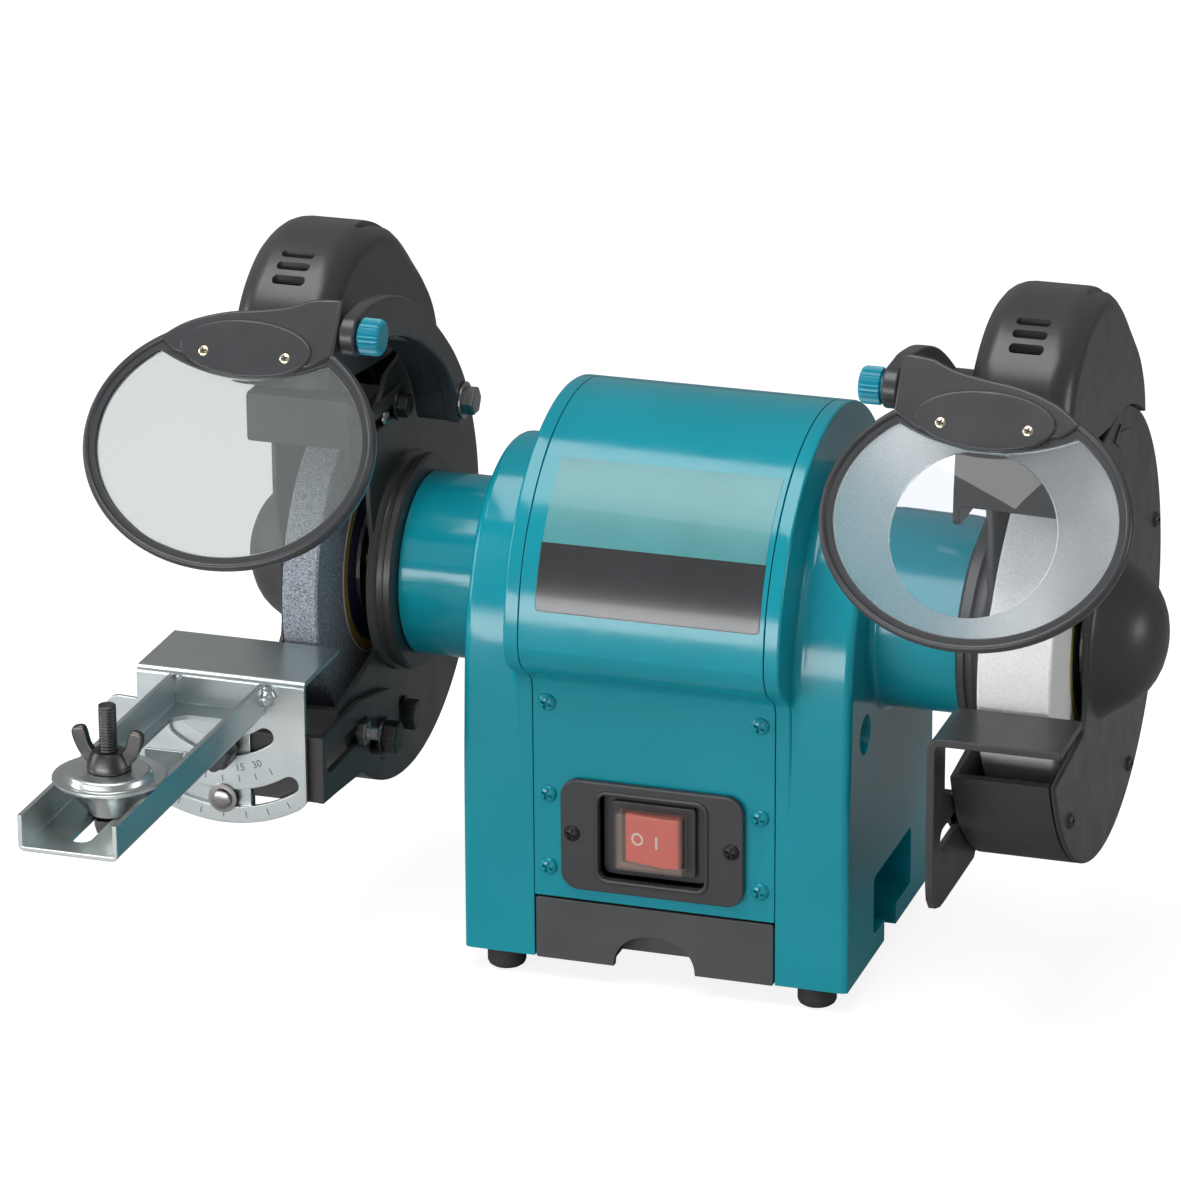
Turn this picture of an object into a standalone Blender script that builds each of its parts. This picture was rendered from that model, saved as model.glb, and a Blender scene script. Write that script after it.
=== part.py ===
"""Bench grinder: an induction motor in a cast body turns one abrasive wheel at each end.

Every size below is in millimetres, in the machine frame: X along the shaft, -Y towards the operator,
Z up from the bench. The constructors turn them into metres, and the frame empty at the end moves
the whole machine so that its footprint is centred on the world origin.
"""

import math

import bmesh
import bpy
from mathutils import Matrix, Vector

MM = 0.001

# Driving dimensions.
SHAFT_Z = 160.0  # height of the shaft above the bench
GAP = 0.3  # clearance between touching pieces
FOOT_HEIGHT = 10.0
FOOT_RADIUS = 8.5
FOOT_X, FOOT_Y = 70.5, 60.0
BODY_HALF_WIDTH = 86.5
BODY_HALF_DEPTH = 70.0
COVER_HALF_WIDTH = 54.0
COVER_RADIUS = 88.8
SHOULDER_X = 61.0  # where each casting steps down from the cover's size
SHOULDER_RADIUS = 62.0
WALL = 5.0  # casting wall
NECK_RADIUS = 40.5
NECK_END = 125.5
COLLAR_RADIUS = 48.0
GUARD_INNER_X = 135.8  # motor-side face of a wheel guard
GUARD_OUTER_X = 181.0
GUARD_RADIUS = 98.0
SHEET = 2.5  # guard sheet thickness
WHEEL_RADIUS = 75.0
GREY_WHEEL = (150.0, 166.0)  # from the motor outwards
WHITE_WHEEL = (142.5, 174.0)
WHEEL_X = 160.3  # middle of a guard
SHAFT_RADIUS = 6.2
SHAFT_THICK_RADIUS = 7.5  # between the necks
BEARING_RADIUS = 17.3
STATOR_RADIUS, STACK_HALF_LENGTH = 58.0, 27.0
GLAND_X, GLAND_Z = -42.0, 62.0
ROCKER_Z = 71.5
TRAY_TOP = 38.0
TRAY_DEPTH = 120.0
PIVOT_Y, PIVOT_Z = -114.0, SHAFT_Z + 141.0  # axis on which a shield tilts
SHIELD_TILT = math.radians(32.0)
SHIELD_CENTRE = (159.3, -52.8)  # across the machine, and along the shield from the pivot
SHIELD_HALF_WIDTH, SHIELD_HALF_HEIGHT = 64.2, 53.6
RIM_WIDTH = 5.7
HEAD_BOTTOM, HEAD_ARC = -24.4, 78.0  # lowest point and radius of the head block's lower edge
ARM_INNER_X, ARM_OUTER_X = 112.8, 119.5
STEM_RADIUS = 3.0  # studs and bolt shanks
KNOB_RADIUS = 7.8
REST_FRONT, REST_BACK = -121.5, -77.8
REST_TOP_L, REST_TOP_R = SHAFT_Z - 14.0, SHAFT_Z - 9.0
REST_CENTRE_X = -177.0
REST_HALF_WIDTH = 38.2
CLAMP_DROPS = (33.0, 56.5)  # from the left rest's top down to its two studs
ZINC = 2.3  # thickness of the left rest
BRACKET_SHEET, BAR_SHEET = 3.0, 3.5
CHANNEL_END = -287.0
CHANNEL_HALF_WIDTH = 21.5
CHANNEL_TOP, CHANNEL_BOTTOM = SHAFT_Z - 15.6, SHAFT_Z - 31.0
JIG_Y = -241.5

PALETTE = {
    "teal_paint": ((0.0, 0.235, 0.30), 0.25, 0.0),
    "black_enamel": ((0.035, 0.035, 0.037), 0.35, 0.0),
    "black_plastic": ((0.03, 0.03, 0.032), 0.4, 0.0),
    "grey_stone": ((0.16, 0.17, 0.21), 0.95, 0.0),
    "white_stone": ((0.85, 0.85, 0.84), 0.9, 0.0),
    "zinc": ((0.62, 0.67, 0.68), 0.32, 1.0),
    "steel": ((0.45, 0.45, 0.46), 0.3, 1.0),
    "dark_steel": ((0.10, 0.10, 0.10), 0.4, 0.9),
    "lamination": ((0.28, 0.28, 0.30), 0.5, 0.9),
    "copper": ((0.55, 0.23, 0.10), 0.35, 1.0),
    "knob_teal": ((0.01, 0.40, 0.50), 0.4, 0.0),
    "rubber": ((0.02, 0.02, 0.02), 0.8, 0.0),
    "red_plastic": ((0.75, 0.04, 0.03), 0.35, 0.0),
    "clear_plastic": ((0.85, 0.87, 0.88), 0.1, 0.0),
    "tray_plastic": ((0.05, 0.055, 0.06), 0.45, 0.0),
    "capacitor_grey": ((0.5, 0.5, 0.52), 0.4, 0.0),
}


def clear_scene():
    """Empties the startup scene."""
    for obj in list(bpy.data.objects):
        bpy.data.objects.remove(obj, do_unlink=True)


def new_collection(name):
    """A collection linked to the scene."""
    collection = bpy.data.collections.new(name)
    bpy.context.scene.collection.children.link(collection)
    return collection


def material(name):
    """The piece's own Principled material, from the palette."""
    found = bpy.data.materials.get(name)
    if found:
        return found
    colour, roughness, metallic = PALETTE[name]
    made = bpy.data.materials.new(name)
    made.use_nodes = True
    shader = made.node_tree.nodes["Principled BSDF"]
    shader.inputs["Base Color"].default_value = (*colour, 1.0)
    shader.inputs["Roughness"].default_value = roughness
    shader.inputs["Metallic"].default_value = metallic
    return made


# Outlines: lists of (u, v) points in millimetres.


def arc(centre, radius, start, end, steps):
    """Points on an arc, with angles in degrees."""
    points = []
    for i in range(steps + 1):
        angle = math.radians(start + (end - start) * i / steps)
        points.append((centre[0] + radius * math.cos(angle), centre[1] + radius * math.sin(angle)))
    return points


def rounded_box(low, high, radius, steps=4):
    """A rectangle with rounded corners."""
    (u0, v0), (u1, v1) = low, high
    corners = [
        ((u1 - radius, v1 - radius), 0),
        ((u0 + radius, v1 - radius), 90),
        ((u0 + radius, v0 + radius), 180),
        ((u1 - radius, v0 + radius), 270),
    ]
    points = []
    for centre, start in corners:
        points += arc(centre, radius, start, start + 90, steps)
    return points


def slot(start, end, half_width, steps=6):
    """A straight slot between two centres."""
    angle = math.degrees(math.atan2(end[1] - start[1], end[0] - start[0]))
    return arc(end, half_width, angle - 90, angle + 90, steps) + arc(
        start, half_width, angle + 90, angle + 270, steps
    )


def arc_slot(centre, radius, half_width, start, end, steps=10):
    """A slot bent along an arc, with angles in degrees."""

    def on_arc(angle):
        """The middle of the slot at an angle."""
        turn = math.radians(angle)
        return (centre[0] + radius * math.cos(turn), centre[1] + radius * math.sin(turn))

    outer = arc(centre, radius + half_width, start, end, steps)
    inner = arc(centre, radius - half_width, end, start, steps)
    far_cap = arc(on_arc(end), half_width, end, end + 180, 5)[1:-1]
    near_cap = arc(on_arc(start), half_width, start + 180, start + 360, 5)[1:-1]
    return outer + far_cap + inner + near_cap


def circle(centre, radius, steps=24):
    """A closed round outline."""
    return arc(centre, radius, 0, 360, steps)[:-1]


def ellipse(centre, half_u, half_v, steps):
    """A closed oval outline."""
    return [(centre[0] + half_u * u, centre[1] + half_v * v) for u, v in circle((0, 0), 1, steps)]


# Constructors: each gives a mesh in metres in the machine frame.

# Where a flat outline's (u, v) and its thickness go, by the axis that it is extruded along.
AXES = {
    "X": Matrix(((0, 0, 1, 0), (1, 0, 0, 0), (0, 1, 0, 0), (0, 0, 0, 1))),
    "Y": Matrix(((1, 0, 0, 0), (0, 0, -1, 0), (0, 1, 0, 0), (0, 0, 0, 1))),
    "Z": Matrix.Identity(4),
}
TURNS = {
    "X": Matrix.Rotation(math.radians(90), 4, "Y"),
    "Y": Matrix.Rotation(math.radians(-90), 4, "X"),
    "Z": Matrix.Identity(4),
}


def mesh_of(bm, name):
    """The finished mesh, with its normals outwards."""
    bmesh.ops.recalc_face_normals(bm, faces=bm.faces)
    mesh = bpy.data.meshes.new(name)
    bm.to_mesh(mesh)
    bm.free()
    return mesh


def box(low, high):
    """A block between two corners."""
    low, high = Vector(low) * MM, Vector(high) * MM
    bm = bmesh.new()
    size = high - low
    place = Matrix.Translation((low + high) / 2) @ Matrix.Diagonal((*size, 1.0))
    bmesh.ops.create_cube(bm, size=1.0, matrix=place)
    return mesh_of(bm, "box")


def rod(axis, centre, start, end, radius, end_radius=None, sides=32):
    """A cylinder or cone along an axis; centre holds the two other coordinates, in X, Y, Z order."""
    middle = list(centre)
    middle.insert("XYZ".index(axis), (start + end) / 2)
    bm = bmesh.new()
    bmesh.ops.create_cone(
        bm,
        cap_ends=True,
        segments=sides,
        radius1=radius * MM,
        radius2=(radius if end_radius is None else end_radius) * MM,
        depth=abs(end - start) * MM,
        matrix=Matrix.Translation(Vector(middle) * MM) @ TURNS[axis],
    )
    return mesh_of(bm, "rod")


def plate(axis, outlines, start, end):
    """A flat outline with its holes, extruded along an axis from start to end."""
    curve = bpy.data.curves.new("outline", "CURVE")
    curve.dimensions = "2D"
    curve.fill_mode = "BOTH"
    curve.extrude = abs(end - start) / 2 * MM
    for outline in outlines:
        spline = curve.splines.new("POLY")
        spline.points.add(len(outline) - 1)
        for point, (u, v) in zip(spline.points, outline):
            point.co = (u * MM, v * MM, 0.0, 1.0)
        spline.use_cyclic_u = True
    guide = bpy.data.objects.new("outline", curve)
    bpy.context.scene.collection.objects.link(guide)
    graph = bpy.context.evaluated_depsgraph_get()
    mesh = bpy.data.meshes.new_from_object(guide.evaluated_get(graph))
    bpy.data.objects.remove(guide, do_unlink=True)
    bm = bmesh.new()
    bm.from_mesh(mesh)
    bmesh.ops.remove_doubles(bm, verts=bm.verts, dist=1e-6)
    middle = (start + end) / 2 * MM * (-1 if axis == "Y" else 1)
    bmesh.ops.transform(bm, matrix=AXES[axis] @ Matrix.Translation((0, 0, middle)), verts=bm.verts)
    return mesh_of(bm, "plate")


def strip(points, start, end):
    """An open sheet: a path in (y, z) swept along X, for Solidify to thicken."""
    bm = bmesh.new()
    verts = [bm.verts.new((start * MM, y * MM, z * MM)) for y, z in points]
    edges = [bm.edges.new(pair) for pair in zip(verts, verts[1:])]
    swept = bmesh.ops.extrude_edge_only(bm, edges=edges)["geom"]
    moved = [item for item in swept if isinstance(item, bmesh.types.BMVert)]
    bmesh.ops.translate(bm, vec=((end - start) * MM, 0, 0), verts=moved)
    mesh = bpy.data.meshes.new("strip")
    bm.to_mesh(mesh)
    bm.free()
    return mesh


def smooth(mesh, angle=35.0):
    """Smooth shading that keeps the edges sharper than the angle."""
    mesh.shade_smooth()
    mesh.set_sharp_from_angle(angle=math.radians(angle))


# Objects.


def add(name, mesh, finish, origin=(0.0, 0.0, 0.0)):
    """A node: the mesh under its name, with its origin at the point that it moves about."""
    at = Vector(origin) * MM
    mesh.transform(Matrix.Translation(-at))
    mesh.materials.append(material(finish))
    mesh.name = name
    smooth(mesh)
    obj = bpy.data.objects.new(name, mesh)
    obj.location = at
    PARTS.objects.link(obj)
    return obj


def helper(mesh):
    """A cutter or a shape to join on, which isn't itself a node."""
    obj = bpy.data.objects.new("cutter", mesh)
    obj.hide_render = True
    obj.display_type = "WIRE"
    CUTTERS.objects.link(obj)
    return obj


def combine(obj, operation, meshes):
    """A Boolean for each mesh, with the mesh as its hidden operand."""
    for mesh in meshes:
        modifier = obj.modifiers.new(operation.lower(), "BOOLEAN")
        modifier.operation = operation
        modifier.solver = "EXACT"
        modifier.object = helper(mesh)


def join(obj, *meshes):
    """Adds the meshes to the node."""
    combine(obj, "UNION", meshes)


def cut(obj, *meshes):
    """Takes the meshes away from the node."""
    combine(obj, "DIFFERENCE", meshes)


def bevel(obj, width, segments=2, angle=40.0):
    """Rounds the edges sharper than the angle."""
    modifier = obj.modifiers.new("bevel", "BEVEL")
    modifier.width = width * MM
    modifier.segments = segments
    modifier.limit_method = "ANGLE"
    modifier.angle_limit = math.radians(angle)
    modifier.harden_normals = False


def turned(name, axis, centre, profile, finish, sides=32, origin=None):
    """A profile of (distance along the axis, radius) points, turned about the axis."""
    bm = bmesh.new()
    verts = [bm.verts.new((radius * MM, 0.0, along * MM)) for along, radius in profile]
    for first, second in zip(verts, verts[1:] + verts[:1]):
        if first.co.x + second.co.x > 1e-9:
            bm.edges.new((first, second))
    mesh = bpy.data.meshes.new("profile")
    bm.to_mesh(mesh)
    bm.free()
    guide = bpy.data.objects.new("profile", mesh)
    bpy.context.scene.collection.objects.link(guide)
    screw = guide.modifiers.new("screw", "SCREW")
    screw.axis = "Z"
    screw.steps = screw.render_steps = sides
    screw.use_merge_vertices = True
    screw.merge_threshold = 1e-6
    graph = bpy.context.evaluated_depsgraph_get()
    solid = bpy.data.meshes.new_from_object(guide.evaluated_get(graph))
    bpy.data.objects.remove(guide, do_unlink=True)
    bm = bmesh.new()
    bm.from_mesh(solid)
    bmesh.ops.remove_doubles(bm, verts=bm.verts, dist=1e-7)
    middle = list(centre)
    middle.insert("XYZ".index(axis), 0.0)
    place = Matrix.Translation(Vector(middle) * MM) @ TURNS[axis]
    bmesh.ops.transform(bm, matrix=place, verts=bm.verts)
    solid = mesh_of(bm, name)
    if origin is None:
        origin = list(centre)
        origin.insert("XYZ".index(axis), sum(along for along, _ in profile) / len(profile))
    return add(name, solid, finish, origin)


def mirrored(mesh, side):
    """The same mesh for the left side of the machine when side is -1."""
    if side < 0:
        bm = bmesh.new()
        bm.from_mesh(mesh)
        bmesh.ops.scale(bm, vec=(-1, 1, 1), verts=bm.verts)
        bmesh.ops.reverse_faces(bm, faces=bm.faces)
        bm.to_mesh(mesh)
        bm.free()
    return mesh


def side_name(side):
    """The operator's left or right."""
    return "right" if side > 0 else "left"


# The body.


def cover_path(inset=0.0):
    """Outer outline of the motor cover in (y, z), from the front over the arch to the back."""
    waist = [
        (-BODY_HALF_DEPTH, SHAFT_Z - 25),
        (-71.2, SHAFT_Z - 20.5),
        (-75.5, SHAFT_Z - 16.5),
        (-81.5, SHAFT_Z - 13),
        (-86.0, SHAFT_Z - 8.5),
        (-88.3, SHAFT_Z - 3.5),
    ]
    front = [(y + inset, z) for y, z in waist]
    back = [(-y, z) for y, z in reversed(front)]
    arch = arc((0, SHAFT_Z), COVER_RADIUS - inset, 180, 0, 30)
    return front, arch, back


def cover_outline(inset, bottom):
    """The cover's closed outline in (y, z), which its castings share."""
    front, arch, back = cover_path(inset)
    depth = BODY_HALF_DEPTH - inset
    return [(-depth, bottom)] + front + arch + back + [(depth, bottom)]


def shoulder_outline(inset, bottom):
    """Outline of a casting outside its shoulder: a bell with a smaller arch on top."""
    depth = BODY_HALF_DEPTH - inset
    flank = [(-depth, SHAFT_Z - 34), (-depth + 0.8, SHAFT_Z - 10), (-depth + 5, SHAFT_Z + 12)]
    arch = arc((0, SHAFT_Z), SHOULDER_RADIUS - inset, 153, 27, 12)
    return [(-depth, bottom)] + flank + arch + [(-y, z) for y, z in reversed(flank)] + [(depth, bottom)]


def end_castings():
    """Each end of the body: a wide rim at the cover, a narrower bell, and the neck to a guard."""
    bell_face = BODY_HALF_WIDTH
    cavity_floor = FOOT_HEIGHT - 5
    for side in (-1, 1):
        rim = plate("X", [cover_outline(0.0, FOOT_HEIGHT)], COVER_HALF_WIDTH + GAP, SHOULDER_X)
        casting = add(f"{side_name(side)}_end_casting", mirrored(rim, side), "teal_paint")
        bell = plate("X", [shoulder_outline(0.0, FOOT_HEIGHT)], SHOULDER_X - 2, bell_face)
        neck = rod("X", (0, SHAFT_Z), bell_face - 2, NECK_END, NECK_RADIUS, sides=32)
        join(casting, mirrored(bell, side), mirrored(neck, side))
        cutters = [
            plate("X", [cover_outline(4.0, cavity_floor)], COVER_HALF_WIDTH - 2, SHOULDER_X - 4),
            plate("X", [shoulder_outline(WALL, cavity_floor)], SHOULDER_X - 5, bell_face - WALL),
            rod("X", (0, SHAFT_Z), bell_face - 11, NECK_END + 3, BEARING_RADIUS + GAP, sides=24),
            rod("X", (0, SHAFT_Z), bell_face - 10, 97, 34, sides=24),
            rod("X", (0, SHAFT_Z), 116, NECK_END + 2, 33, sides=24),
            box((bell_face - 8.7, -28, 20), (bell_face + 2, 33, 47)),
            box((bell_face - 8.3, -10, 4.6), (bell_face + 2.4, 9, 24)),
            rod("X", (-44.5, SHAFT_Z - 40), bell_face - 2.5, bell_face + 2, 9, sides=16),
        ]
        cut(casting, *[mirrored(cutter, side) for cutter in cutters])
        lip = box((44, -58, FOOT_HEIGHT + 0.1), (76, 58, FOOT_HEIGHT + 2.2))
        join(casting, mirrored(lip, side))
        for y in (-56, 56):
            boss = rod("Z", (FOOT_X, y), FOOT_HEIGHT + 0.05, FOOT_HEIGHT + 8, 12.7, sides=12)
            join(casting, mirrored(boss, side))


def motor_cover():
    """One bent sheet: the front panel, the arch and the rear panel."""
    front, arch, back = cover_path()
    path = [(-BODY_HALF_DEPTH, TRAY_TOP + 1)] + front + arch + back
    path.append((BODY_HALF_DEPTH, FOOT_HEIGHT + 3))
    cover = add("motor_cover", strip(path, -COVER_HALF_WIDTH, COVER_HALF_WIDTH), "teal_paint")
    shell = cover.modifiers.new("sheet", "SOLIDIFY")
    shell.thickness = 3.0 * MM
    shell.offset = -1.0
    opening = box((-26, -80, 49), (26, -60, 93))
    gland_hole = rod("Y", (GLAND_X, GLAND_Z), 60, 80, 7.5, sides=16)
    cut(cover, opening, gland_hole)


def base_deck():
    """The deck over the coolant tray, with the saddle that the stator sits in."""
    sheet = box((-53.7, -66.5, TRAY_TOP + 1), (53.7, 66.5, TRAY_TOP + 4))
    deck = add("base_deck", sheet, "dark_steel")
    join(deck, box((-12, -26, TRAY_TOP + 3), (12, 26, SHAFT_Z - 46)))
    cut(deck, rod("X", (0, SHAFT_Z), -20, 20, STATOR_RADIUS + GAP, sides=32))


def feet():
    """Four rubber feet, each pressed under a boss of its casting."""
    outline = [(0, 0), (0, FOOT_RADIUS - 0.8), (0.8, FOOT_RADIUS)]
    outline += [(FOOT_HEIGHT - GAP, FOOT_RADIUS), (FOOT_HEIGHT - GAP, 0)]
    for x_side in (-1, 1):
        for y_side in (-1, 1):
            depth = "front" if y_side < 0 else "back"
            centre = (x_side * FOOT_X, y_side * FOOT_Y)
            turned(f"foot_{depth}_{side_name(x_side)}", "Z", centre, outline, "rubber", 16)


def coolant_tray():
    """A drawer for water under the motor: a flush face with a finger hole, and an open basin behind."""
    front = -BODY_HALF_DEPTH
    body = box((-51.5, front + 2, FOOT_HEIGHT + 2.6), (51.5, front + TRAY_DEPTH, TRAY_TOP))
    tray = add("coolant_tray", body, "tray_plastic", (0, front, TRAY_TOP))
    join(tray, plate("Y", [rounded_box((-53.6, 9.5), (53.6, TRAY_TOP), 1.5, 2)], front, front + 3.5))
    basin = box((-49, front + 16, FOOT_HEIGHT + 5), (49, front + TRAY_DEPTH - 2.5, TRAY_TOP + 5))
    arch = [(18, 0)] + arc((0, -14), 39.5, 63, 117, 8) + [(-18, 0)]
    finger_hole = plate("Y", [arch], front - 2, front + 12)
    cut(tray, basin, finger_hole)


# The motor.


def motor():
    """Stator, rotor and shaft on their bearings, with the run capacitor and the cord's gland."""
    core = STACK_HALF_LENGTH
    centre = (0, SHAFT_Z)
    stator = [(-core, 38.3), (-core, STATOR_RADIUS), (core, STATOR_RADIUS), (core, 38.3)]
    turned("stator_core", "X", centre, stator, "lamination", 32)
    for side in (-1, 1):
        ring = [(core + GAP, 41), (core + GAP, 53), (core + 13, 51), (core + 13, 43)]
        profile = [(side * along, radius) for along, radius in ring]
        turned(f"{side_name(side)}_winding", "X", centre, profile, "copper", 24)
    bore = SHAFT_THICK_RADIUS + 0.8
    rotor = [(-core, bore), (-core, 37.8), (core, 37.8), (core, bore)]
    turned("rotor_core", "X", centre, rotor, "lamination", 28)
    half = [(195, 0), (195, SHAFT_RADIUS), (128, SHAFT_RADIUS), (128, SHAFT_THICK_RADIUS)]
    profile = half + [(-along, radius) for along, radius in reversed(half)]
    turned("shaft", "X", centre, profile, "steel", 16)
    for side in (-1, 1):
        inner = SHAFT_THICK_RADIUS + GAP
        profile = [(100, inner), (100, BEARING_RADIUS), (111, BEARING_RADIUS), (111, inner)]
        profile = [(side * along, radius) for along, radius in profile]
        turned(f"{side_name(side)}_bearing", "X", centre, profile, "steel", 20)
    add("capacitor", rod("X", (47, 64), -26, 34, 17, sides=16), "capacitor_grey")
    gland = [(58, 3.6), (58, 7.2), (70.3, 7.2), (70.3, 10.5), (74, 9.5), (74, 3.6)]
    turned("cord_gland", "Y", (GLAND_X, GLAND_Z), gland, "rubber", 16)


def switch():
    """The switch on the front of the cover: plate, body, rocker, and the clear dust cover over it."""
    face = -BODY_HALF_DEPTH - GAP
    low, high = SHAFT_Z - 115, SHAFT_Z - 64
    outline = rounded_box((-41, low), (41, high), 8.0)
    opening = rounded_box((-23.7, low + 6.4), (23.7, high - 5.5), 4, 3)
    add("switch_plate", plate("Y", [outline, opening], face - 3, face), "black_plastic")
    outline = rounded_box((-23.2, low + 6.9), (23.2, high - 6.0), 3.6, 3)
    body = add("switch_body", plate("Y", [outline], face, face + 24), "black_plastic")
    pocket = box((-14, face - 5, ROCKER_Z - 12.3), (14, face + 9, ROCKER_Z + 12.3))
    cut(body, pocket)
    back = face + 4.3
    off_pressed = [(-12.3, back), (-12.3, face - 1.2), (6, face - 4.8), (12.3, face - 3.6), (12.3, back)]
    key = plate("Z", [off_pressed], ROCKER_Z - 11.3, ROCKER_Z + 11.3)
    add("rocker", key, "red_plastic", (0, back, ROCKER_Z))
    cap = rounded_box((-15.2, ROCKER_Z - 13), (15.2, ROCKER_Z + 13), 1.5, 2)
    cover = add("dust_cover", plate("Y", [cap], face - 7.2, face - GAP), "clear_plastic")
    hollow = rounded_box((-14.4, ROCKER_Z - 12.2), (14.4, ROCKER_Z + 12.2), 0.9, 2)
    cut(cover, plate("Y", [hollow], face - 6.4, face + 1))


# Wheels and guards.


def wheels():
    """The two abrasive wheels, each clamped between two dished flanges by a hexagon nut."""
    bore = SHAFT_RADIUS + GAP
    dish = [(0, bore), (0, 27), (0.8, 29), (2.4, 29), (3.4, 24), (3.4, bore)]
    for side, (inner, outer), stone in ((-1, GREY_WHEEL, "grey"), (1, WHITE_WHEEL, "white")):
        profile = [(inner, bore), (inner, WHEEL_RADIUS), (outer, WHEEL_RADIUS), (outer, bore)]
        profile = [(side * along, radius) for along, radius in profile]
        turned(f"{stone}_wheel", "X", (0, SHAFT_Z), profile, f"{stone}_stone", 48)
        who = side_name(side)
        for place, start, turn in (("inner", inner - GAP, -1), ("outer", outer + GAP, 1)):
            profile = [(side * (start + turn * along), radius) for along, radius in dish]
            turned(f"{who}_{place}_flange", "X", (0, SHAFT_Z), profile, "steel", 24)
        nut = rod("X", (0, SHAFT_Z), outer + 4.2, outer + 13.2, 10.5, sides=6)
        piece = add(f"{who}_wheel_nut", mirrored(nut, side), "steel", (side * outer, 0, SHAFT_Z))
        cut(piece, mirrored(rod("X", (0, SHAFT_Z), outer + 2, outer + 15, bore, sides=16), side))


def guard_outline(tip):
    """Side sheet of a guard in (y, z): the round, with its front left open for the wheel."""
    around = arc((0, SHAFT_Z), GUARD_RADIUS, 180 + tip, 444, 30)
    front = [(-20, 92), (-44, 70), (-44, 40), (-39, 15), (-38, -22), (-42, -29)]
    return around + [(y, SHAFT_Z + z) for y, z in front]


def guards():
    """Each guard: the inner part with its collar and rim, and the cover bolted over its open side."""
    bore = circle((0, SHAFT_Z), COLLAR_RADIUS - 12, 24)
    for side in (-1, 1):
        tip = 23.0 if side < 0 else 20.8
        who = side_name(side)
        outline = guard_outline(tip)
        sheet = plate("X", [outline, bore], GUARD_INNER_X, GUARD_INNER_X + SHEET)
        inner = add(f"{who}_guard_inner", mirrored(sheet, side), "black_enamel")
        rim = arc((0, SHAFT_Z), GUARD_RADIUS, 180 + tip, 418, 30)
        rim += arc((0, SHAFT_Z), GUARD_RADIUS - SHEET, 418, 180 + tip, 30)
        rim = plate("X", [rim], GUARD_INNER_X + 1, GUARD_OUTER_X - SHEET - GAP)
        ring = [circle((0, SHAFT_Z), COLLAR_RADIUS, 32), bore]
        collar = plate("X", ring, NECK_END + GAP, GUARD_INNER_X + 1)
        join(inner, mirrored(collar, side), mirrored(rim, side))
        sheet = plate("X", [outline], GUARD_OUTER_X - SHEET, GUARD_OUTER_X)
        cover = add(f"{who}_guard_cover", mirrored(sheet, side), "black_enamel")
        join(cover, mirrored(dome(0.0), side))
        cut(cover, mirrored(dome(SHEET), side))


def dome(inset):
    """The bump in a guard cover that clears the end of the shaft."""
    steps = [(-SHEET - 1, 0, 0), (-SHEET - 1, 36, 1), (3, 34, 1), (9, 30.5, 1), (16, 25.5, 1)]
    steps.append((22.5, 15.5, 0.6))
    profile = [(GUARD_OUTER_X - inset + out, radius - inset * share) for out, radius, share in steps]
    profile.append((GUARD_OUTER_X - inset + 25.5, 0))
    piece = turned("dome", "X", (0, SHAFT_Z), profile, "black_enamel", 24, origin=(0, 0, 0))
    mesh = piece.data
    bpy.data.objects.remove(piece, do_unlink=True)
    mesh.materials.clear()
    return mesh


def hood_path():
    """Top line of a spark cover in (y, z), from its foot at the back to its front lip."""
    rise = [(54, 88), (52.5, 98), (47.5, 109.5), (38.5, 122), (26, 135), (10, 148)]
    crown = [(-7, 156.5), (-25, 161), (-41, 161), (-55, 158), (-68.5, 151)]
    lip = [(-79.5, 141.5), (-86.5, 129.5), (-89.5, 114)]
    return [(y, SHAFT_Z + z) for y, z in rise + crown + lip]


def spark_covers():
    """The hood over the front of each wheel, with three vents in its crown."""
    start, end = WHEEL_X - 22.2, WHEEL_X + 22.2
    foot = [(-84, SHAFT_Z + 106), (-30, SHAFT_Z + 99.5)]
    foot += arc((0, SHAFT_Z), GUARD_RADIUS + 0.6, 97, 61, 8)
    inside = [(y * 0.95 - 0.6, SHAFT_Z + (z - SHAFT_Z) * 0.975 - 0.4) for y, z in hood_path()[:-2]]
    inside = [(-79, SHAFT_Z + 90), (46.5, SHAFT_Z + 80)] + inside + [(-82, SHAFT_Z + 120)]
    for side in (-1, 1):
        outside = plate("X", [hood_path() + foot], start, end)
        hood = add(f"{side_name(side)}_spark_cover", mirrored(outside, side), "black_plastic")
        bevel(hood, 6.0, 2, 60)
        cutters = [plate("X", [inside], start + 3, end - 3)]
        for y in (-50, -60, -70):
            low, high = (WHEEL_X - 8, y - 2.2, SHAFT_Z + 130), (WHEEL_X + 6, y + 2.2, SHAFT_Z + 170)
            cutters.append(box(low, high))
        cut(hood, *[mirrored(cutter, side) for cutter in cutters])


def spark_arrestors():
    """The plate close over each wheel's rim, on a slotted ear beside the guard."""
    low, high = SHAFT_Z + 68, SHAFT_Z + 97
    ear_inner, ear_outer = GUARD_INNER_X - GAP - SHEET, GUARD_INNER_X - GAP
    for side in (-1, 1):
        face = box((ear_inner, -74, low + 7), (GUARD_OUTER_X - 1, -72, high))
        origin = (side * ear_inner, -72, low)
        arrestor = add(f"{side_name(side)}_spark_arrestor", mirrored(face, side), "black_enamel", origin)
        outline = rounded_box((-74, low), (-6, low + 16), 1.0, 1)
        groove = slot((-44, low + 8), (-14, low + 8), 2.6, 4)
        join(arrestor, mirrored(plate("X", [outline, groove], ear_inner, ear_outer), side))


# Eye shields.


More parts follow.
